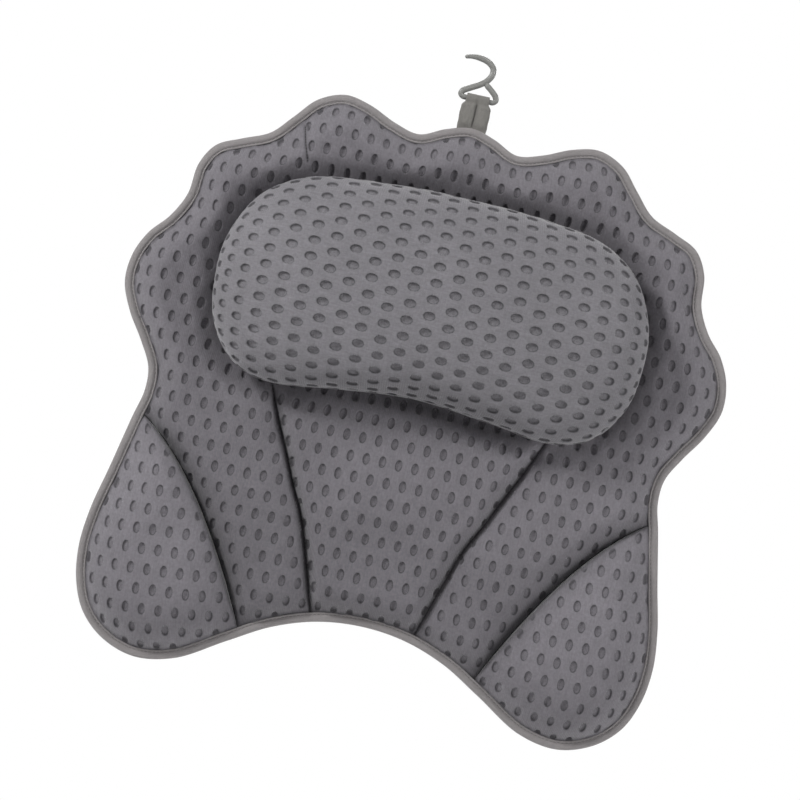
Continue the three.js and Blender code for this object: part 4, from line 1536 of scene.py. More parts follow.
@dataclass(frozen=True)
class QuiltedMat(PerforatedPad):
    """The perforated front of the mat and of its two wings, each a padded piece."""

    lattice: Lattice = Lattice(11.5, 27.7, 4.8, 8.1, 1.6, (1.0, -19.4))
    stuffing: Stuffing = Stuffing()
    spacing: float = 3.2
    coarse: float = 6.0
    shape: MatShape = MatShape()
    cushion: CushionShape = CushionShape()
    seam_gap: float = 0.05
    crease_depth: float = 1.3
    crease_width: float = 1.1
    pucker: float = 0.45
    pucker_width: float = 3.2
    thinnest: float = 0.3
    left_turn: float = 4.0
    join_line = ((-116, 174), (-113, 163), (-108.5, 150))

    def edge(self) -> Points:
        """The covers' outer edge, under the binding."""
        return inset(self.shape.outline(960), self.shape.hem_inset)

    def seam(self, gap: float, edge: Points) -> Points:
        """The right wing's seam from its top down, moved towards the mat by a gap, inside an edge."""
        return clear_of(inset(spread(self.shape.fold(), 120), gap, closed=False), edge, 0.4)

    def mat_loop(self) -> Points:
        """The edge of the mat between the wings' seams.

        Returns:
            Rows of x, y, clockwise.
        """
        edge = self.edge()
        seam = self.seam(self.seam_gap, edge)
        kept = self.shape.into_wing(edge) < -self.seam_gap
        high = edge[:, 1] > self.shape.fold()[:, 1].mean()
        right = edge[:, 0] > -1e-6
        upper = [edge[kept & high & side] for side in (right, ~right)]
        return np.vstack([upper[0], seam, edge[kept & ~high], seam[::-1] * (-1, 1), upper[1]])

    def wing_loop(self, side: Side) -> Points:
        """The edge of a wing.

        Args:
            side: The wing's side.

        Returns:
            Rows of x, y, clockwise.
        """
        edge = self.edge()
        outer = edge[(self.shape.into_wing(edge) > self.seam_gap) & (edge[:, 0] > 0)]
        loop = np.vstack([outer, self.seam(-self.seam_gap, edge)[::-1]])
        return loop if side is Side.RIGHT else loop[::-1] * (-1, 1)

    def creases(self) -> list[Points]:
        """The lines in the mat that are sewn down.

        Returns:
            The right and the left channel's seam, and the short join in the shell.
        """
        loop = self.mat_loop()
        channel = self.shape.channel()
        lines = [channel, channel * (-1, 1), spread(curve_through(self.join_line), 12)]
        return [clear_of(line, loop, 1.2) for line in lines]

    def front(self, points: Points, lines: Lines) -> Points:
        """Heights of the front, creased along sewn lines.

        Args:
            points: Rows of x, y.
            lines: The lines.

        Returns:
            One height a point.
        """
        ripple = self.pucker * np.sin(points[:, 1] * 0.95 + points[:, 0] * 0.35)
        level = self.shape.front(points, self.cushion)
        level = level + ripple * bell(self.shape.into_wing(points), self.pucker_width)
        for line in lines:
            far, _ = reach(points, line)
            level = level + ripple * bell(far, self.pucker_width)
            level = level - self.crease_depth * bell(far, self.crease_width)
        return np.maximum(level, self.shape.floor + 0.4)

    def painted_seam_shade(self, points: Points, lines: Lines) -> Points:
        """Painted light and shade on the mat's cloth, darkest beside its seams.

        Args:
            points: Rows of x, y.
            lines: The lines that are sewn down.

        Returns:
            For each point, how much darker the painted shade makes the cloth, below 0 where painted light
            brightens it, and how near the next seam is.
        """
        x, y = points.T
        wing = self.shape.into_wing(points)
        clear = near(points, self.shape.outline()) - self.shape.binding_width
        channel, side = reach(folded(points), self.shape.channel())
        off_cushion = near(points, self.cushion.loop())
        # Painted shade low down, close beside the cushion, beside each seam, by the arch's binding and low on
        # the left; painted light just below the cushion and low on the right
        low = 1 - smooth(-40, 20, y)
        arch = 1 - smooth(-150, -110, y)
        below = 1 - smooth(-30, 30, y)
        light = 1 - 0.06 * low * smooth(8, 40, off_cushion) - 0.13 * (1 - smooth(-140, -40, y))
        light = light + 0.6 * below * (1 - smooth(4, 20, off_cushion)) * smooth(-105, -30, x)
        light = light * (below + (1 - below) * fading(off_cushion, 13.0, 0.7))
        light = light * fading(-wing, 12.0, 0.6) * fading(np.where(side > 0, channel, 9.0), 6.0, 0.72)
        light = light * (1 - arch * (1 - fading(clear, 14.0, 0.8)))
        light = light * (1 - low * (0.07 * smooth(30, 100, -x) - 0.03 * smooth(30, 100, x)))
        # On the wings: painted light high up, painted shade low down and beside their seams
        height = 1.09 - 0.22 * (1 - smooth(-205, -105, y))
        light = np.where(wing > 0, height * fading(wing, 11.0, 0.84), light)
        # Nearness to the next seam or binding, where the finish paints a dark line of crease shade
        seam = np.minimum(np.minimum(clear * 0.75, np.abs(wing)), nearest(points, lines))
        return np.column_stack([1 - light, np.clip(20 - seam, 0, 20) * MM])

    def settled(self, name: str, loop: Points, lines: Lines, sewn: Test) -> Carried:
        """How far the padded cloth moves from its first shape, found on a coarse copy.

        Args:
            name: The piece's name.
            loop: Its edge, clockwise.
            lines: The lines in it that are sewn down.
            sewn: Tells where it is sewn to something over it.

        Returns:
            The moves, to be read anywhere on it.
        """
        grid = clear_of(triangular(loop, self.coarse), loop, self.coarse * 0.6)
        grid = grid[nearest(grid, lines) > self.coarse * 0.5]
        edge = loop[:: max(1, int(self.coarse / 2.4))]
        flat, faces, rim = flat_triangles(edge, grid, [line[::3] for line in lines])
        pins = sewn(flat) | (near(flat, self.shape.outline()) < self.shape.binding_width + 0.4)
        pins[rim] = True
        pins |= nearest(flat, lines) < 0.3
        points = at_level(flat, self.front(flat, lines))
        return Carried(flat, faces, self.stuffing.settle(name, points, faces, pins))

    def panel(self, name: str, loop: Points, lines: Lines, sewn: Test, turn: float = 0.0) -> Piece:
        """A padded, perforated panel.

        Args:
            name: The piece's name.
            loop: Its edge, clockwise.
            lines: The lines in it that are sewn down.
            sewn: Tells where it is sewn to something over it, and so has no holes.
            turn: How far its cloth is turned, in degrees.

        Returns:
            The piece.
        """
        angle = math.radians(turn)
        turned = np.array([[math.cos(angle), -math.sin(angle)], [math.sin(angle), math.cos(angle)]])
        phase = np.array(self.lattice.phase)

        def laid(points: Points) -> Points:
            """Where points of the cloth lie on the mat."""
            return (points + phase) @ turned.T

        within = laid(self.cloth_points(loop @ turned - phase, lambda points: ~sewn(laid(points))))
        within = within[nearest(within, lines) > 0.8]
        beside = [inset(line, way, closed=False) for line in lines for way in (-1.5, 1.5)]
        flat, faces, rim = flat_triangles(loop, within, [*lines, *beside])
        points = at_level(flat, self.front(flat, lines)) + self.settled(name, loop, lines, sewn).at(flat)
        points[:, 2] = np.maximum(points[:, 2], self.shape.floor + self.thinnest)
        everything, sides = close_below(points, faces, rim, at_level(flat[rim], self.shape.floor))
        clear = near(flat, self.shape.outline()) - self.shape.binding_width
        off_seams = np.minimum(np.minimum(np.abs(self.shape.into_wing(flat)), 9.0), nearest(flat, lines))
        return self.pierce(
            make_object(name, upright(everything), sides),
            np.vstack([flat, flat[rim]]) @ turned - phase,
            ~sewn(flat) * smooth(0.2, 3.2, clear) * smooth(0.8, 3.4, off_seams),
            self.painted_seam_shade(everything[:, :2], lines),
            MAT_KNIT,
        )

    def under_cushion(self, points: Points) -> Points:
        """Whether points lie on the flat that the head cushion is sewn to."""
        return inside(points, self.cushion.loop(self.cushion.tuck - 1.0))

    def build(self) -> None:
        """Builds the mat's cover and both wings' covers."""
        cover = self.panel("mat_cover", self.mat_loop(), self.creases(), self.under_cushion)
        parts = ("shell", "centre_channel", "right_channel", "left_channel")
        nodes = ["front_cover", *(part + "_wadding" for part in parts)]
        settle_piece(cover, "mat", nodes)
        for side in Side:
            turn = self.left_turn if side is Side.LEFT else 0.0
            pad = self.panel(side.wing + "_pad", self.wing_loop(side), [], nowhere, turn)
            nodes = [side.wing + "_cover", side.wing + "_wadding"]
            settle_piece(pad, side.wing, nodes, fold_ends(side))


@dataclass(frozen=True)
class HeadCushion(PerforatedPad):
    """The bean-shaped cushion on the mat."""

    lattice: Lattice = Lattice(28.6, 11.3, 8.4, 5.8, 1.9, (-1.0, 1.4))
    stuffing: Stuffing = Stuffing(slack=0.02, cap=3.5)
    spacing: float = 3.4
    coarse: float = 8.0
    shape: CushionShape = CushionShape()
    seam_ring: int = 37
    seam_depth: float = 0.9
    seam_width: float = 1.3

    def settled(self, loop: Points, sheet: Carried) -> Carried:
        """How far the padded cloth moves from its first shape, found on a coarse copy.

        Args:
            loop: The edge of its cloth, laid flat.
            sheet: The surface over the flat cloth.

        Returns:
            The moves, to be read anywhere on the flat cloth.
        """
        grid = clear_of(triangular(loop, self.coarse), loop, self.coarse * 0.6)
        flat, faces, rim = flat_triangles(loop[::3], grid)
        pins = nowhere(flat)
        pins[rim] = True
        return Carried(flat, faces, self.stuffing.settle("head_cushion", sheet.at(flat), faces, pins))

    def shade(self, points: Points) -> Points:
        """How much painted shade darkens the cushion's cloth low down and at its lower edge, less towards its
        left and more a little right of its middle.

        Args:
            points: Rows of x, y, z.

        Returns:
            A share for each.
        """
        x, y, z = points.T
        foot = 0.28 * (1 - smooth(self.shape.belly, self.shape.belly + 15, z))
        rim = (1 - smooth(35, 75, y)) * (1 - smooth(3, 27, near(points[:, :2], self.shape.loop())))
        under = rim * (0.09 + 0.13 * (1 - smooth(60, 95, np.abs(x))))
        return np.maximum(foot, under) - 0.05 * smooth(40, 150, -x) + 0.045 * bell(x - 65, 45)

    def build(self) -> None:
        """Builds the cushion, creased along the seam round its widest line."""
        surface, rings = self.shape.shells()
        corners = np.array(quads(*rings.shape[:2]))[:, [[0, 1, 2], [0, 2, 3]]].reshape(-1, 3)
        plan = rings.reshape(-1, 2)
        sheet = Carried(plan, corners[np.abs(turning(plan, corners)) > 1e-6], surface.reshape(-1, 3))
        loop, seam = rings[-1], rings[self.seam_ring]
        phase = np.array(self.lattice.phase)
        within = self.cloth_points(loop - phase, lambda points: ~nowhere(points)) + phase
        within = within[reach(within, seam, closed=True)[0] > 0.8]
        lines = [ring_of(line) for line in (seam, inset(seam, -1.2), inset(seam, 1.2))]
        flat, faces, rim = flat_triangles(loop, within, lines)
        points = sheet.at(flat) + self.settled(loop, sheet).at(flat)
        points[:, 2] = np.maximum(points[:, 2], self.shape.foot)
        floor = at_level(inset(points[rim][::-1, :2], 2.0)[::-1], self.shape.foot)
        everything, sides = close_below(points, faces, rim, floor)
        piece = make_object("head_cushion", upright(everything), sides)
        press = np.zeros(len(everything))
        press[: len(flat)] = self.seam_depth * bell(reach(flat, seam, closed=True)[0], self.seam_width) * MM
        placed = upright(everything) - read(piece, "normal") * press[:, None]
        piece.data.vertices.foreach_set("co", placed.ravel())
        fabric = np.vstack([flat, flat[rim]]) - phase
        self.pierce(piece, fabric, np.ones(len(flat)), self.shade(everything), CUSHION_KNIT)
        nodes = ["head_cushion_" + part for part in ("cover", "wadding", "base")]
        settle_piece(piece, "mat", nodes)


@dataclass(frozen=True)
class Seams:
    """Rows of stitches, each laid by the stitch tree along a line."""

    finish: Finish = SEAM_THREAD_AND_SHADE
    spacing: float = 3.4
    width: float = 0.6
    length_share: float = 2.7 / 3.4

    def lay(
        self, name: str, line: Points, body: str = "mat", nodes: Sequence[str] = (), ends: tuple | None = None
    ) -> None:
        """Lays a row of stitches and hands it to the frame.

        Args:
            name: The piece's name.
            line: Rows of x, y, z.
            body: The body that it rides on.
            nodes: The CAD nodes that it stands for.
            ends: Where it goes over from the mat to that body, if it does.
        """
        piece = make_object(name, upright(line), [], [(i, i + 1) for i in range(len(line) - 1)])
        values = {
            "Spacing": self.spacing * MM,
            "Stitch Length": self.spacing * self.length_share * MM,
            "Thread Width": self.width * MM,
            "Material": self.finish.material(),
        }
        run_tree(piece, bpy.data.node_groups["Stitches"], values)
        settle_piece(piece, body, nodes, ends)

    def cord(self, name: str, line: Points) -> Piece:
        """Lays an unbroken thread.

        Args:
            name: The piece's name.
            line: Rows of x, y, z.

        Returns:
            The piece.
        """
        way = unit(np.gradient(line[:, :2], axis=0))
        across = at_level(np.stack([-way[:, 1], way[:, 0]], axis=1), 0.0)
        rings = []
        for angle in turns(8):
            rings.append(line + (across * math.cos(angle) + np.array([0, 0, math.sin(angle)])) * self.width)
        return solid(name, lofted(np.stack(rings, axis=1)), self.finish)


@dataclass(frozen=True)
class EdgeBinding:
    """Folded tape round the whole edge, in a right and a left half, with its row of stitches."""

    shape: MatShape = MatShape()
    seams: Seams = Seams(EDGE_THREAD, 2.9, 0.5)
    stitch_line: float = 5.5
    thickness: float = 1.0
    sharp: float = 60.0

    front_fold = (
        (6.95, -0.95), (7.05, -0.7), (6.85, -0.3), (6.4, -0.1), (6.0, -0.25), (5.65, -0.62), (5.25, -0.6),
        (4.9, -0.12), (4.2, 0.2), (3.2, 0.35), (2.2, 0.2), (1.2, -0.3), (0.5, -1.1), (0.1, -2.1), (0.0, -3.0),
    )  # fmt: skip
    back_fold = (
        (0.1, 2.1), (0.5, 1.1), (1.2, 0.4), (2.4, 0.0), (4.4, 0.05), (5.5, 0.4), (6.4, 0.05), (7.0, 0.4),
        (6.9, 0.95), (5.0, 1.0), (1.4, 1.0),
    )  # fmt: skip

    def section(self) -> list[tuple[float, float]]:
        """Distance in from the edge and level of each corner of the tape's section.

        Returns:
            The corners round the section.
        """
        front = self.shape.tape_front
        back = self.shape.back - self.shape.clearance - self.thickness
        outer = [(far, front + level) for far, level in self.front_fold]
        outer += [(far, back + level) for far, level in self.back_fold]
        return [*outer, (1.4, front - self.thickness), (5.0, front - self.thickness)]

    def build(self) -> None:
        """Builds both halves of the tape and their stitches."""
        outline = self.shape.outline(1200)
        half = len(outline) // 2
        rings = np.stack([at_level(inset(outline, far), level) for far, level in self.section()], axis=1)
        stitches = at_level(inset(outline, self.stitch_line), self.shape.tape_front - 0.55)
        picked = {Side.RIGHT: [*range(half + 1)], Side.LEFT: [*range(half, len(outline)), 0]}
        nodes = {Side.RIGHT: "scallop_binding", Side.LEFT: "arch_binding"}
        for side in Side:
            ends = fold_ends(side)
            tape = solid(side.word + "_binding_tape", lofted(rings[picked[side]]))
            tape.data.set_sharp_from_angle(angle=math.radians(self.sharp))
            tape.data.materials.append(EDGE_TAPE.material())
            settle_piece(tape, side.wing, [nodes[side], side.wing + "_binding"], ends)
            self.seams.lay(side.word + "_binding_stitches", stitches[picked[side]], side.wing, ends=ends)


@dataclass(frozen=True)
class SeamThreads:
    """The near-black thread of the two channel seams, the two wing seams and the short join in the shell,
    partly painted crease shade.
    """

    mat: QuiltedMat = QuiltedMat()
    seams: Seams = Seams(SEAM_THREAD_AND_SHADE, 2.3, 0.65)
    cords: Seams = Seams()

    def build(self) -> None:
        """Lays the stitches in the creases."""
        shape = self.mat.shape
        lines = self.mat.creases()
        cushion = self.mat.cushion.loop(self.mat.cushion.tuck)
        for name, line in zip(("right_channel", "left_channel", "shell_join"), lines):
            line = line[inside(line, shape.lip)]
            row = at_level(line, self.mat.front(line, lines) + 0.15)[~inside(line, cushion)]
            nodes = [name + "_thread"] if name != "shell_join" else []
            self.seams.lay(name + "_stitches", row, nodes=nodes)
        # Unbroken cords low in the wings' creases, whose near-black colour is partly painted crease shade
        fold = spread(shape.fold(), 160)
        fold = fold[inside(fold, shape.lip)]
        for side in Side:
            cord = self.cords.cord(side.word + "_fold_cord", at_level(fold * (side.value, 1), shape.hem))
            settle_piece(cord, "mat", [side.word + "_fold_thread"])


@dataclass(frozen=True)
class QuiltedBack:
    """The plain knitted back of the mat and its wings, pressed in along the seams."""

    mat: QuiltedMat = QuiltedMat()
    seams: Seams = Seams()
    spacing: float = 5.0
    thickness: float = 1.2
    relief: float = 0.8
    relief_reach: float = 13.0

    def level(self, points: Points, lines: Lines) -> Points:
        """Level of the back's outer face over the wall.

        Args:
            points: Rows of x, y.
            lines: The lines that are sewn down.

        Returns:
            One level a point.
        """
        shape = self.mat.shape
        seams = [near(points, shape.outline()) - shape.binding_width, np.abs(shape.into_wing(points))]
        seams += [reach(points, line)[0] for line in lines]
        full = math.prod(swell(far, self.relief_reach) for far in seams)
        return shape.back + self.relief * (1 - full)

    def panel(self, name: str, loop: Points, lines: Lines) -> Piece:
        """One panel of the back as a closed sheet.

        Args:
            name: The piece's name.
            loop: Its edge, clockwise.
            lines: The lines in it that are sewn down.

        Returns:
            The piece.
        """
        inner = [clear_of(line[::2], loop, 1.0) for line in lines]
        grid = clear_of(triangular(loop, self.spacing), loop, self.spacing * 0.5)
        grid = grid[nearest(grid, inner) > self.spacing * 0.4]
        flat, faces, rim = flat_triangles(loop[::2], grid, inner)
        floor = at_level(flat[rim], -self.mat.shape.back - self.thickness)
        everything, sides = close_below(at_level(flat, -self.level(flat, lines)), faces, rim, floor)
        piece = solid(name, (everything * (1, 1, -1), sides), BACK_KNIT)
        store(piece, "fabric", read(piece)[:, [0, 2]])
        return piece

    def build(self) -> None:
        """Builds the three panels and the rows of stitches that show on them."""
        channel = self.mat.shape.channel()
        cushion = self.mat.cushion.loop(self.mat.cushion.tuck)
        channel = channel[~inside(channel, cushion)]
        lines = [channel, channel * (-1, 1), ring_of(cushion)]
        settle_piece(self.panel("mat_back", self.mat.mat_loop(), lines), "mat", ["back_cloth"])
        for name, line in zip(("right_channel", "left_channel", "cushion"), lines):
            line = line[inside(line, self.mat.shape.lip)]
            self.seams.lay("back_" + name + "_stitches", at_level(line, self.level(line, lines) - 0.1))
        for side in Side:
            panel = self.panel(side.wing + "_back", self.mat.wing_loop(side), [])
            settle_piece(panel, side.wing, [side.wing + "_back_cloth"], fold_ends(side))


# Cups, loop and hook


@dataclass(frozen=True)
class SuctionCups:
    """Six soft clear cups, each buttoned into a round cloth patch."""

    radius: float = 27.5
    rim: float = 3.0
    skirt: float = 8.2
    neck: float = 4.5
    neck_top: float = 11.8
    head: float = 7.5
    head_top: float = 14.7
    tab: float = 4.5
    stitch_radius: float = 17.6
    stitch_level: float = 13.35
    sides: int = 64
    seams: Seams = Seams(EDGE_THREAD)

    patch_section = (
        (5.2, 11.5), (8.2, 11.5), (9.6, 12.1), (11.3, 13.7), (12.4, 14.5), (13.6, 14.7), (18.6, 14.7),
        (19.0, 14.2), (18.8, 13.75), (17.6, 13.45), (16.6, 13.6), (13.0, 13.5), (11.7, 12.9), (10.1, 11.3),
        (8.8, 10.4), (5.4, 10.3),
    )  # fmt: skip

    def profile(self) -> list[tuple[float, float]]:
        """The cup's profile from the middle of its hollow round to the top of its head.

        Returns:
            The radius and level of each corner.
        """
        size, skirt, neck, top, head = self.radius, self.skirt, self.neck, self.neck_top, self.head
        inner = size - self.rim
        profile = [(r, (skirt - 2.4) * (1 - (r / inner) ** 2)) for r in np.linspace(0, inner, 14)]
        profile += [(inner + 0.4, 0.0), (size - 0.3, 0.0), (size, 0.25), (size, 0.65)]
        shoulder = neck + 2.4
        for r in np.linspace(size - 0.35, shoulder, 12):
            profile.append((r, 0.9 + (skirt - 0.9) * (1 - (r / size) ** 2) * 0.985))
        profile += [(shoulder - 1.2, skirt - 0.15), (neck + 0.4, skirt + 0.1), (neck, skirt + 0.8)]
        profile += [(neck, top - 0.4), (neck + 0.4, top), (head - 0.5, top), (head, top + 0.5)]
        profile += [(head, self.head_top - 1.0), (head - 0.8, self.head_top - 0.15)]
        return [*profile, (head - 2.2, self.head_top), (0.0, self.head_top)]

    def cup_mesh(self) -> bpy.types.Mesh:
        """The cup with its pull tab, as one skin round the origin of the drawing.

        Returns:
            The mesh.
        """
        angles = turns(self.sides)
        rings = [[(r * math.cos(a), r * math.sin(a), z) for a in angles] for r, z in self.profile()]
        cup = solid("cup", lofted(np.array(rings)))
        size, low, high = self.tab, -self.radius - 1.6, -self.radius + 2.2
        bend = [(size * math.cos(a), low + size * math.sin(a)) for a in np.linspace(0, -math.pi, 17)]
        outline = np.array([(size, high), *bend, (-size, high)])
        tab = solid("tab", lofted(np.array([at_level(outline, z) for z in (0.3, 1.5)])))
        modify(tab, "BEVEL", width=0.35 * MM, segments=2)
        join(cup, bake_modifiers(tab))
        mesh = cup.data
        bpy.data.objects.remove(cup)
        return mesh

    def build(self) -> None:
        """Builds every cup and its patch."""
        mesh = self.cup_mesh()
        angles = turns(self.sides)
        section = self.patch_section
        rings = np.array([[(r * math.cos(a), r * math.sin(a), z) for r, z in section] for a in angles])
        turn = np.linspace(0, 2 * math.pi, 120)
        circle = np.column_stack([np.cos(turn), np.sin(turn)]) * self.stitch_radius
        for row in Row:
            for side in Side:
                place = row.word + "_" + side.word
                x, y = row.value[0] * side.value, row.value[1]
                cup = linked("cup_" + place, mesh.copy())
                cup.data.transform(Matrix.Translation((x * MM, 0, y * MM)))
                cup.data.shade_smooth()
                refinish(cup, CUP_VINYL)
                settle_piece(cup, "suction_cup_" + place, ["suction_cup_" + place])
                patch = solid("patch_" + place, lofted(rings + (x, y, 0), joined=True), PATCH_TAPE)
                settle_piece(patch, "mat", ["cup_patch_" + place])
                self.seams.lay("patch_stitches_" + place, at_level(circle + (x, y), self.stitch_level))


@dataclass(frozen=True)
class TapeLoop:
    """The tape loop that is sewn on at the top and holds the hook's bar in its fold."""

    foot: float = 197.0
    bar: float = 220.694
    level: float = 16.65
    width: float = 21.0
    top_width: float = 16.6
    thickness: float = 1.2
    eye: float = 2.15
    pocket: float = 7.0
    across: int = 31
    strand: float = 0.66
    bend: tuple[float, float] = (0.2018, 0.2095)

    def centre_line(self) -> Points:
        """The middle of the tape from its front foot over the bar to its back foot.

        Returns:
            Rows of height and of level off the tape's middle plane.
        """
        foot, bar, strand = self.foot, self.bar, self.strand
        middle = self.eye + self.thickness / 2
        front = [(foot, strand), (foot + 5, strand), (foot + 10, strand + 0.05)]
        front += [(bar - self.pocket, strand + 0.1), (bar - 4.2, 1.35), (bar - 2.0, 2.35)]
        angles = np.linspace(0.05, math.pi - 0.05, 13)
        bend = [(bar + middle * math.sin(a), middle * math.cos(a)) for a in angles]
        back = [(height, -offset) for height, offset in reversed(front)]
        return spread(curve_through(front + bend + back, divisions=8), 96)

    def build(self) -> None:
        """Builds the loop, its two edges rolled to the middle and a little rumpled."""
        line = self.centre_line()
        points, painted_fold_shade = [], []
        for height, offset in line:
            up = float(smooth(self.bar - 6.5, self.bar - 2.5, height))
            half = (self.width + (self.top_width - self.width) * up) / 2
            free = float(smooth(self.foot + 1, self.foot + 6, height)) * (1 - 0.8 * up)
            for share in np.linspace(-1, 1, self.across):
                # Each half of the width is rolled up, and the two meet in a line darkened by painted shade
                fold = 2.0 * max(0.0, 1 - (2 * abs(share) - 1) ** 2) ** 0.4
                wave = 0.2 * math.sin(share * 9 + height * 0.25) + 0.12 * math.sin(share * 21 - height * 0.5)
                lift = max(0.0, fold + wave) * free * np.clip(offset / 0.6, -1, 1)
                edge = half * share * (1 + 0.012 * math.sin(height * 0.7))
                points.append((edge, height, self.level + offset + lift))
                painted_fold_shade.append(0.6 * free * math.exp(-((half * share / 1.1) ** 2)))
        faces = quads(len(line), self.across, round_=False)
        loop = make_object("hanging_tape", upright(np.array(points)), faces)
        # The painted shade of the middle fold goes in the attribute "seams"
        store(loop, "seams", painted_fold_shade)
        modify(loop, "SOLIDIFY", thickness=self.thickness * MM, offset=0.0)
        modify(loop, "BEVEL", width=0.35 * MM, segments=2, angle_limit=math.radians(50))
        refinish(face_outwards(bake_modifiers(loop)), LOOP_TAPE)
        ends = tuple(Vector((0, -self.level * MM, height)) for height in self.bend)
        settle_piece(loop, "hanging_loop", ["hanging_loop"], ends)


@dataclass(frozen=True)
class WireHook:
    """The round plastic hook with its three-cornered eye."""

    wire: float = 3.9
    arm: float = 4.5
    tip: float = 2.8
    taper: float = 14.0
    width: float = 27.0
    rise: float = 29.5
    bar: float = 220.694
    level: float = 16.65

    bend_shares = (
        (-1.16, 0.955), (-0.78, 0.995), (-0.36, 1), (0.12, 0.945), (0.44, 0.82), (0.48, 0.68), (0.32, 0.52),
        (0.0, 0.385), (-0.5, 0.25), (-0.88, 0.14), (-0.95, 0.055), (-0.8, 0), (-0.68, 0), (-0.4, 0),
        (0.05, 0),
    )  # fmt: skip
    arm_shares = (
        (-0.05, 0), (0.35, 0), (0.62, 0), (0.8, 0), (0.94, 0.055), (0.88, 0.155), (0.62, 0.275), (0.2, 0.42),
    )  # fmt: skip

    def rod(self, shares: Shares, tip: bool) -> Skin:
        """A round rod through points of the drawing.

        Args:
            shares: The points, as shares of half the width and of the rise.
            tip: Whether the rod narrows to a rounded tip at its start.

        Returns:
            Its points and faces.
        """
        line = np.array(shares, float) * (self.width / 2, self.rise) + (0, self.bar)
        line = spread(curve_through(line), 120)
        way = unit(np.gradient(line, axis=0))
        far = np.concatenate([[0], np.cumsum(np.linalg.norm(np.diff(line, axis=0), axis=1))])
        radius = (self.wire + (self.arm - self.wire) * smooth(0.5, 4.0, line[:, 1] - self.bar)) / 2
        if tip:
            radius = radius * (self.tip + (self.arm - self.tip) * smooth(0, self.taper, far)) / self.arm
            radius = radius * np.sqrt(np.clip(swell(far, self.tip / 2), 0.04, 1))
        else:
            radius = radius * (0.72 + 0.25 * smooth(0, 3, far[-1] - far))
        across = np.stack([-way[:, 1], way[:, 0]], axis=1) * radius[:, None]
        rings = []
        for a in turns(20):
            rings.append(at_level(line + across * math.cos(a), self.level + radius * math.sin(a)))
        return lofted(np.stack(rings, axis=1))

    def build(self) -> None:
        """Builds the hook in one skin."""
        hook = solid("hook", self.rod(self.bend_shares, True))
        join(hook, solid("hook_arm", self.rod(self.arm_shares, False)))
        refinish(hook, HOOK_PLASTIC)
        hook.data.shade_smooth()
        settle_piece(hook, "hanging_hook", ["hanging_hook"])


# Studio


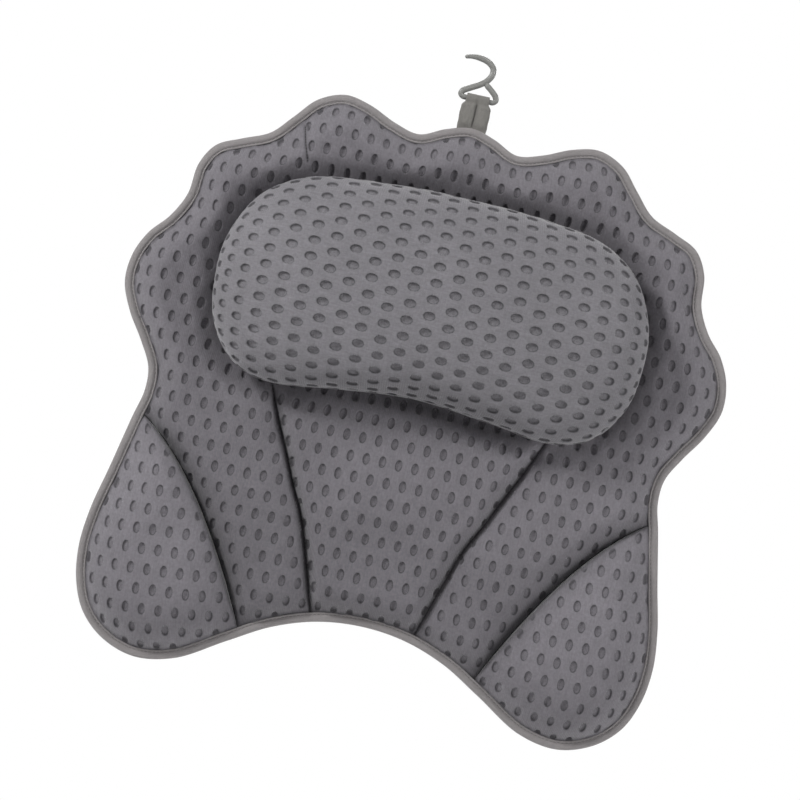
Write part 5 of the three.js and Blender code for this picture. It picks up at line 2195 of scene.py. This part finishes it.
@dataclass(frozen=True)
class Studio:
    """A pale floor well below the hanging pillow, soft lamps and the camera."""

    distance: float = 1.25
    frame_width: float = 0.5733
    lean: float = 12.45
    target: tuple[float, float, float] = (-0.0081, -0.0167, -0.0015)
    floor: float = -0.5
    reach: float = 1.9

    lamps = (
        ("key", 58.0, 133.0, 0.4, 23.0),
        ("left", 78.0, 180.0, 0.7, 3.8),
        ("top", 57.0, 65.0, 0.7, 5.5),
        ("right", 60.0, 3.0, 0.7, 13.5),
        ("front", 30.0, 60.0, 0.7, 1.5),
        ("behind", 140.0, 70.0, 1.6, 26.0),
    )

    def axes(self) -> tuple[Vector, Vector, Vector]:
        """The picture's right and up, and the way from the pillow to the camera.

        Returns:
            The three directions.
        """
        lean = math.radians(self.lean)
        right = Vector((math.cos(lean), 0, math.sin(lean)))
        up = Vector((-math.sin(lean), 0, math.cos(lean)))
        return right, up, Vector((0, -1, 0))

    def camera(self) -> None:
        """Sets the camera square to the front, leaning so that the pillow's top leans right."""
        data = bpy.data.cameras.new("camera")
        data.sensor_width = 36.0
        data.lens = data.sensor_width * self.distance / self.frame_width
        data.clip_end = 20.0
        camera = linked("camera", data)
        place = Vector(self.target) + Vector((0, -self.distance, 0))
        camera.matrix_world = Matrix.Translation(place) @ Matrix(self.axes()).transposed().to_4x4()
        bpy.context.scene.camera = camera

    def lamp(self, name: str, polar: float, turn: float, size: float, power: float) -> None:
        """Adds a square soft lamp that looks at the pillow.

        Args:
            name: Its name.
            polar: Its angle off the view, in degrees.
            turn: Its angle round the view, from the picture's right over its top.
            size: The length of its sides in metres.
            power: Its power in watts.
        """
        right, up, back = self.axes()
        a, p = math.radians(turn), math.radians(polar)
        way = (right * math.cos(a) + up * math.sin(a)) * math.sin(p) + back * math.cos(p)
        data = bpy.data.lights.new(name, "AREA")
        data.size = size
        data.energy = power
        lamp = linked(name, data)
        lamp.location = Vector(self.target) + way * self.reach
        lamp.rotation_mode = "QUATERNION"
        lamp.rotation_quaternion = (Vector(self.target) - lamp.location).to_track_quat("-Z", "Y")

    def seen(self, writer: TreeWriter) -> Socket:
        """1 for what the camera sees, straight or in gloss or through the cups, and 0 for light.

        Args:
            writer: The writer of the tree that asks.

        Returns:
            The socket.
        """
        path = writer.add("ShaderNodeLightPath")
        seen = writer.math("MAXIMUM", path["Is Camera Ray"], path["Is Glossy Ray"])
        return writer.math("MAXIMUM", seen, path["Is Transmission Ray"])

    def background(self) -> None:
        """Makes the world white to the eye and in reflections, and soft grey as light."""
        world = bpy.data.worlds.new("world")
        bpy.context.scene.world = world
        world.use_nodes = True
        world.node_tree.nodes.clear()
        writer = TreeWriter(world.node_tree)
        soft = writer.add("ShaderNodeBackground", {"Color": (0.95, 0.96, 1.0, 1.0), "Strength": 0.1})
        white = writer.add("ShaderNodeBackground", {"Color": (1.0, 1.0, 1.0, 1.0), "Strength": 1.0})
        mixed = writer.add("ShaderNodeMixShader", {0: self.seen(writer), 1: soft[0], 2: white[0]})
        writer.add("ShaderNodeOutputWorld", {0: mixed[0]})

    def ground(self) -> None:
        """Adds the pale floor, which keeps the pillow's shadow."""
        points = np.array([(-2, -2, 0), (2, -2, 0), (2, 0.5, 0), (-2, 0.5, 0)]) + (0, 0, self.floor)
        ground = make_object("floor", points, [(0, 1, 2, 3)])
        made = bpy.data.materials.new("floor")
        made.use_nodes = True
        writer = TreeWriter(made.node_tree)
        surface = made.node_tree.nodes["Principled BSDF"]
        place = writer.add("ShaderNodeTexCoord")["Object"]
        pale = writer.ranged(writer.noise(place, 3.0), 0.0, 1.0, 0.86, 0.9)
        writer.give(surface, {"Roughness": 0.9, "Base Color": writer.grey(pale)})
        far = writer.add("ShaderNodeVectorMath", {0: place, 1: (0.0, -0.5, self.floor)}, operation="DISTANCE")
        share = writer.math("MULTIPLY", writer.ranged(far["Value"], 0.35, 1.0, 0.35, 1.0), self.seen(writer))
        white = writer.add("ShaderNodeEmission", {"Color": (1.0, 1.0, 1.0, 1.0), "Strength": 1.0})
        both = writer.add("ShaderNodeMixShader", {0: share, 1: surface.outputs[0], 2: white[0]})
        writer.give(made.node_tree.nodes["Material Output"], {0: both[0]})
        ground.data.materials.append(made)

    def build(self) -> None:
        """Sets the camera, the lamps, the background and the floor."""
        bpy.context.scene.view_settings.view_transform = "Standard"
        self.camera()
        self.background()
        self.ground()
        for lamp in self.lamps:
            self.lamp(*lamp)


def main() -> None:
    """Builds the pillow's sub-assemblies and the studio."""
    logging.basicConfig(level=logging.INFO, format="%(message)s")
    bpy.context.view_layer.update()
    perforation_tree()
    stitch_tree()
    soft = (QuiltedMat(), HeadCushion(), EdgeBinding(), SeamThreads(), QuiltedBack())
    for part in (Studio(), *soft, SuctionCups(), TapeLoop(), WireHook()):
        part.build()


if __name__ == "__main__":
    main()
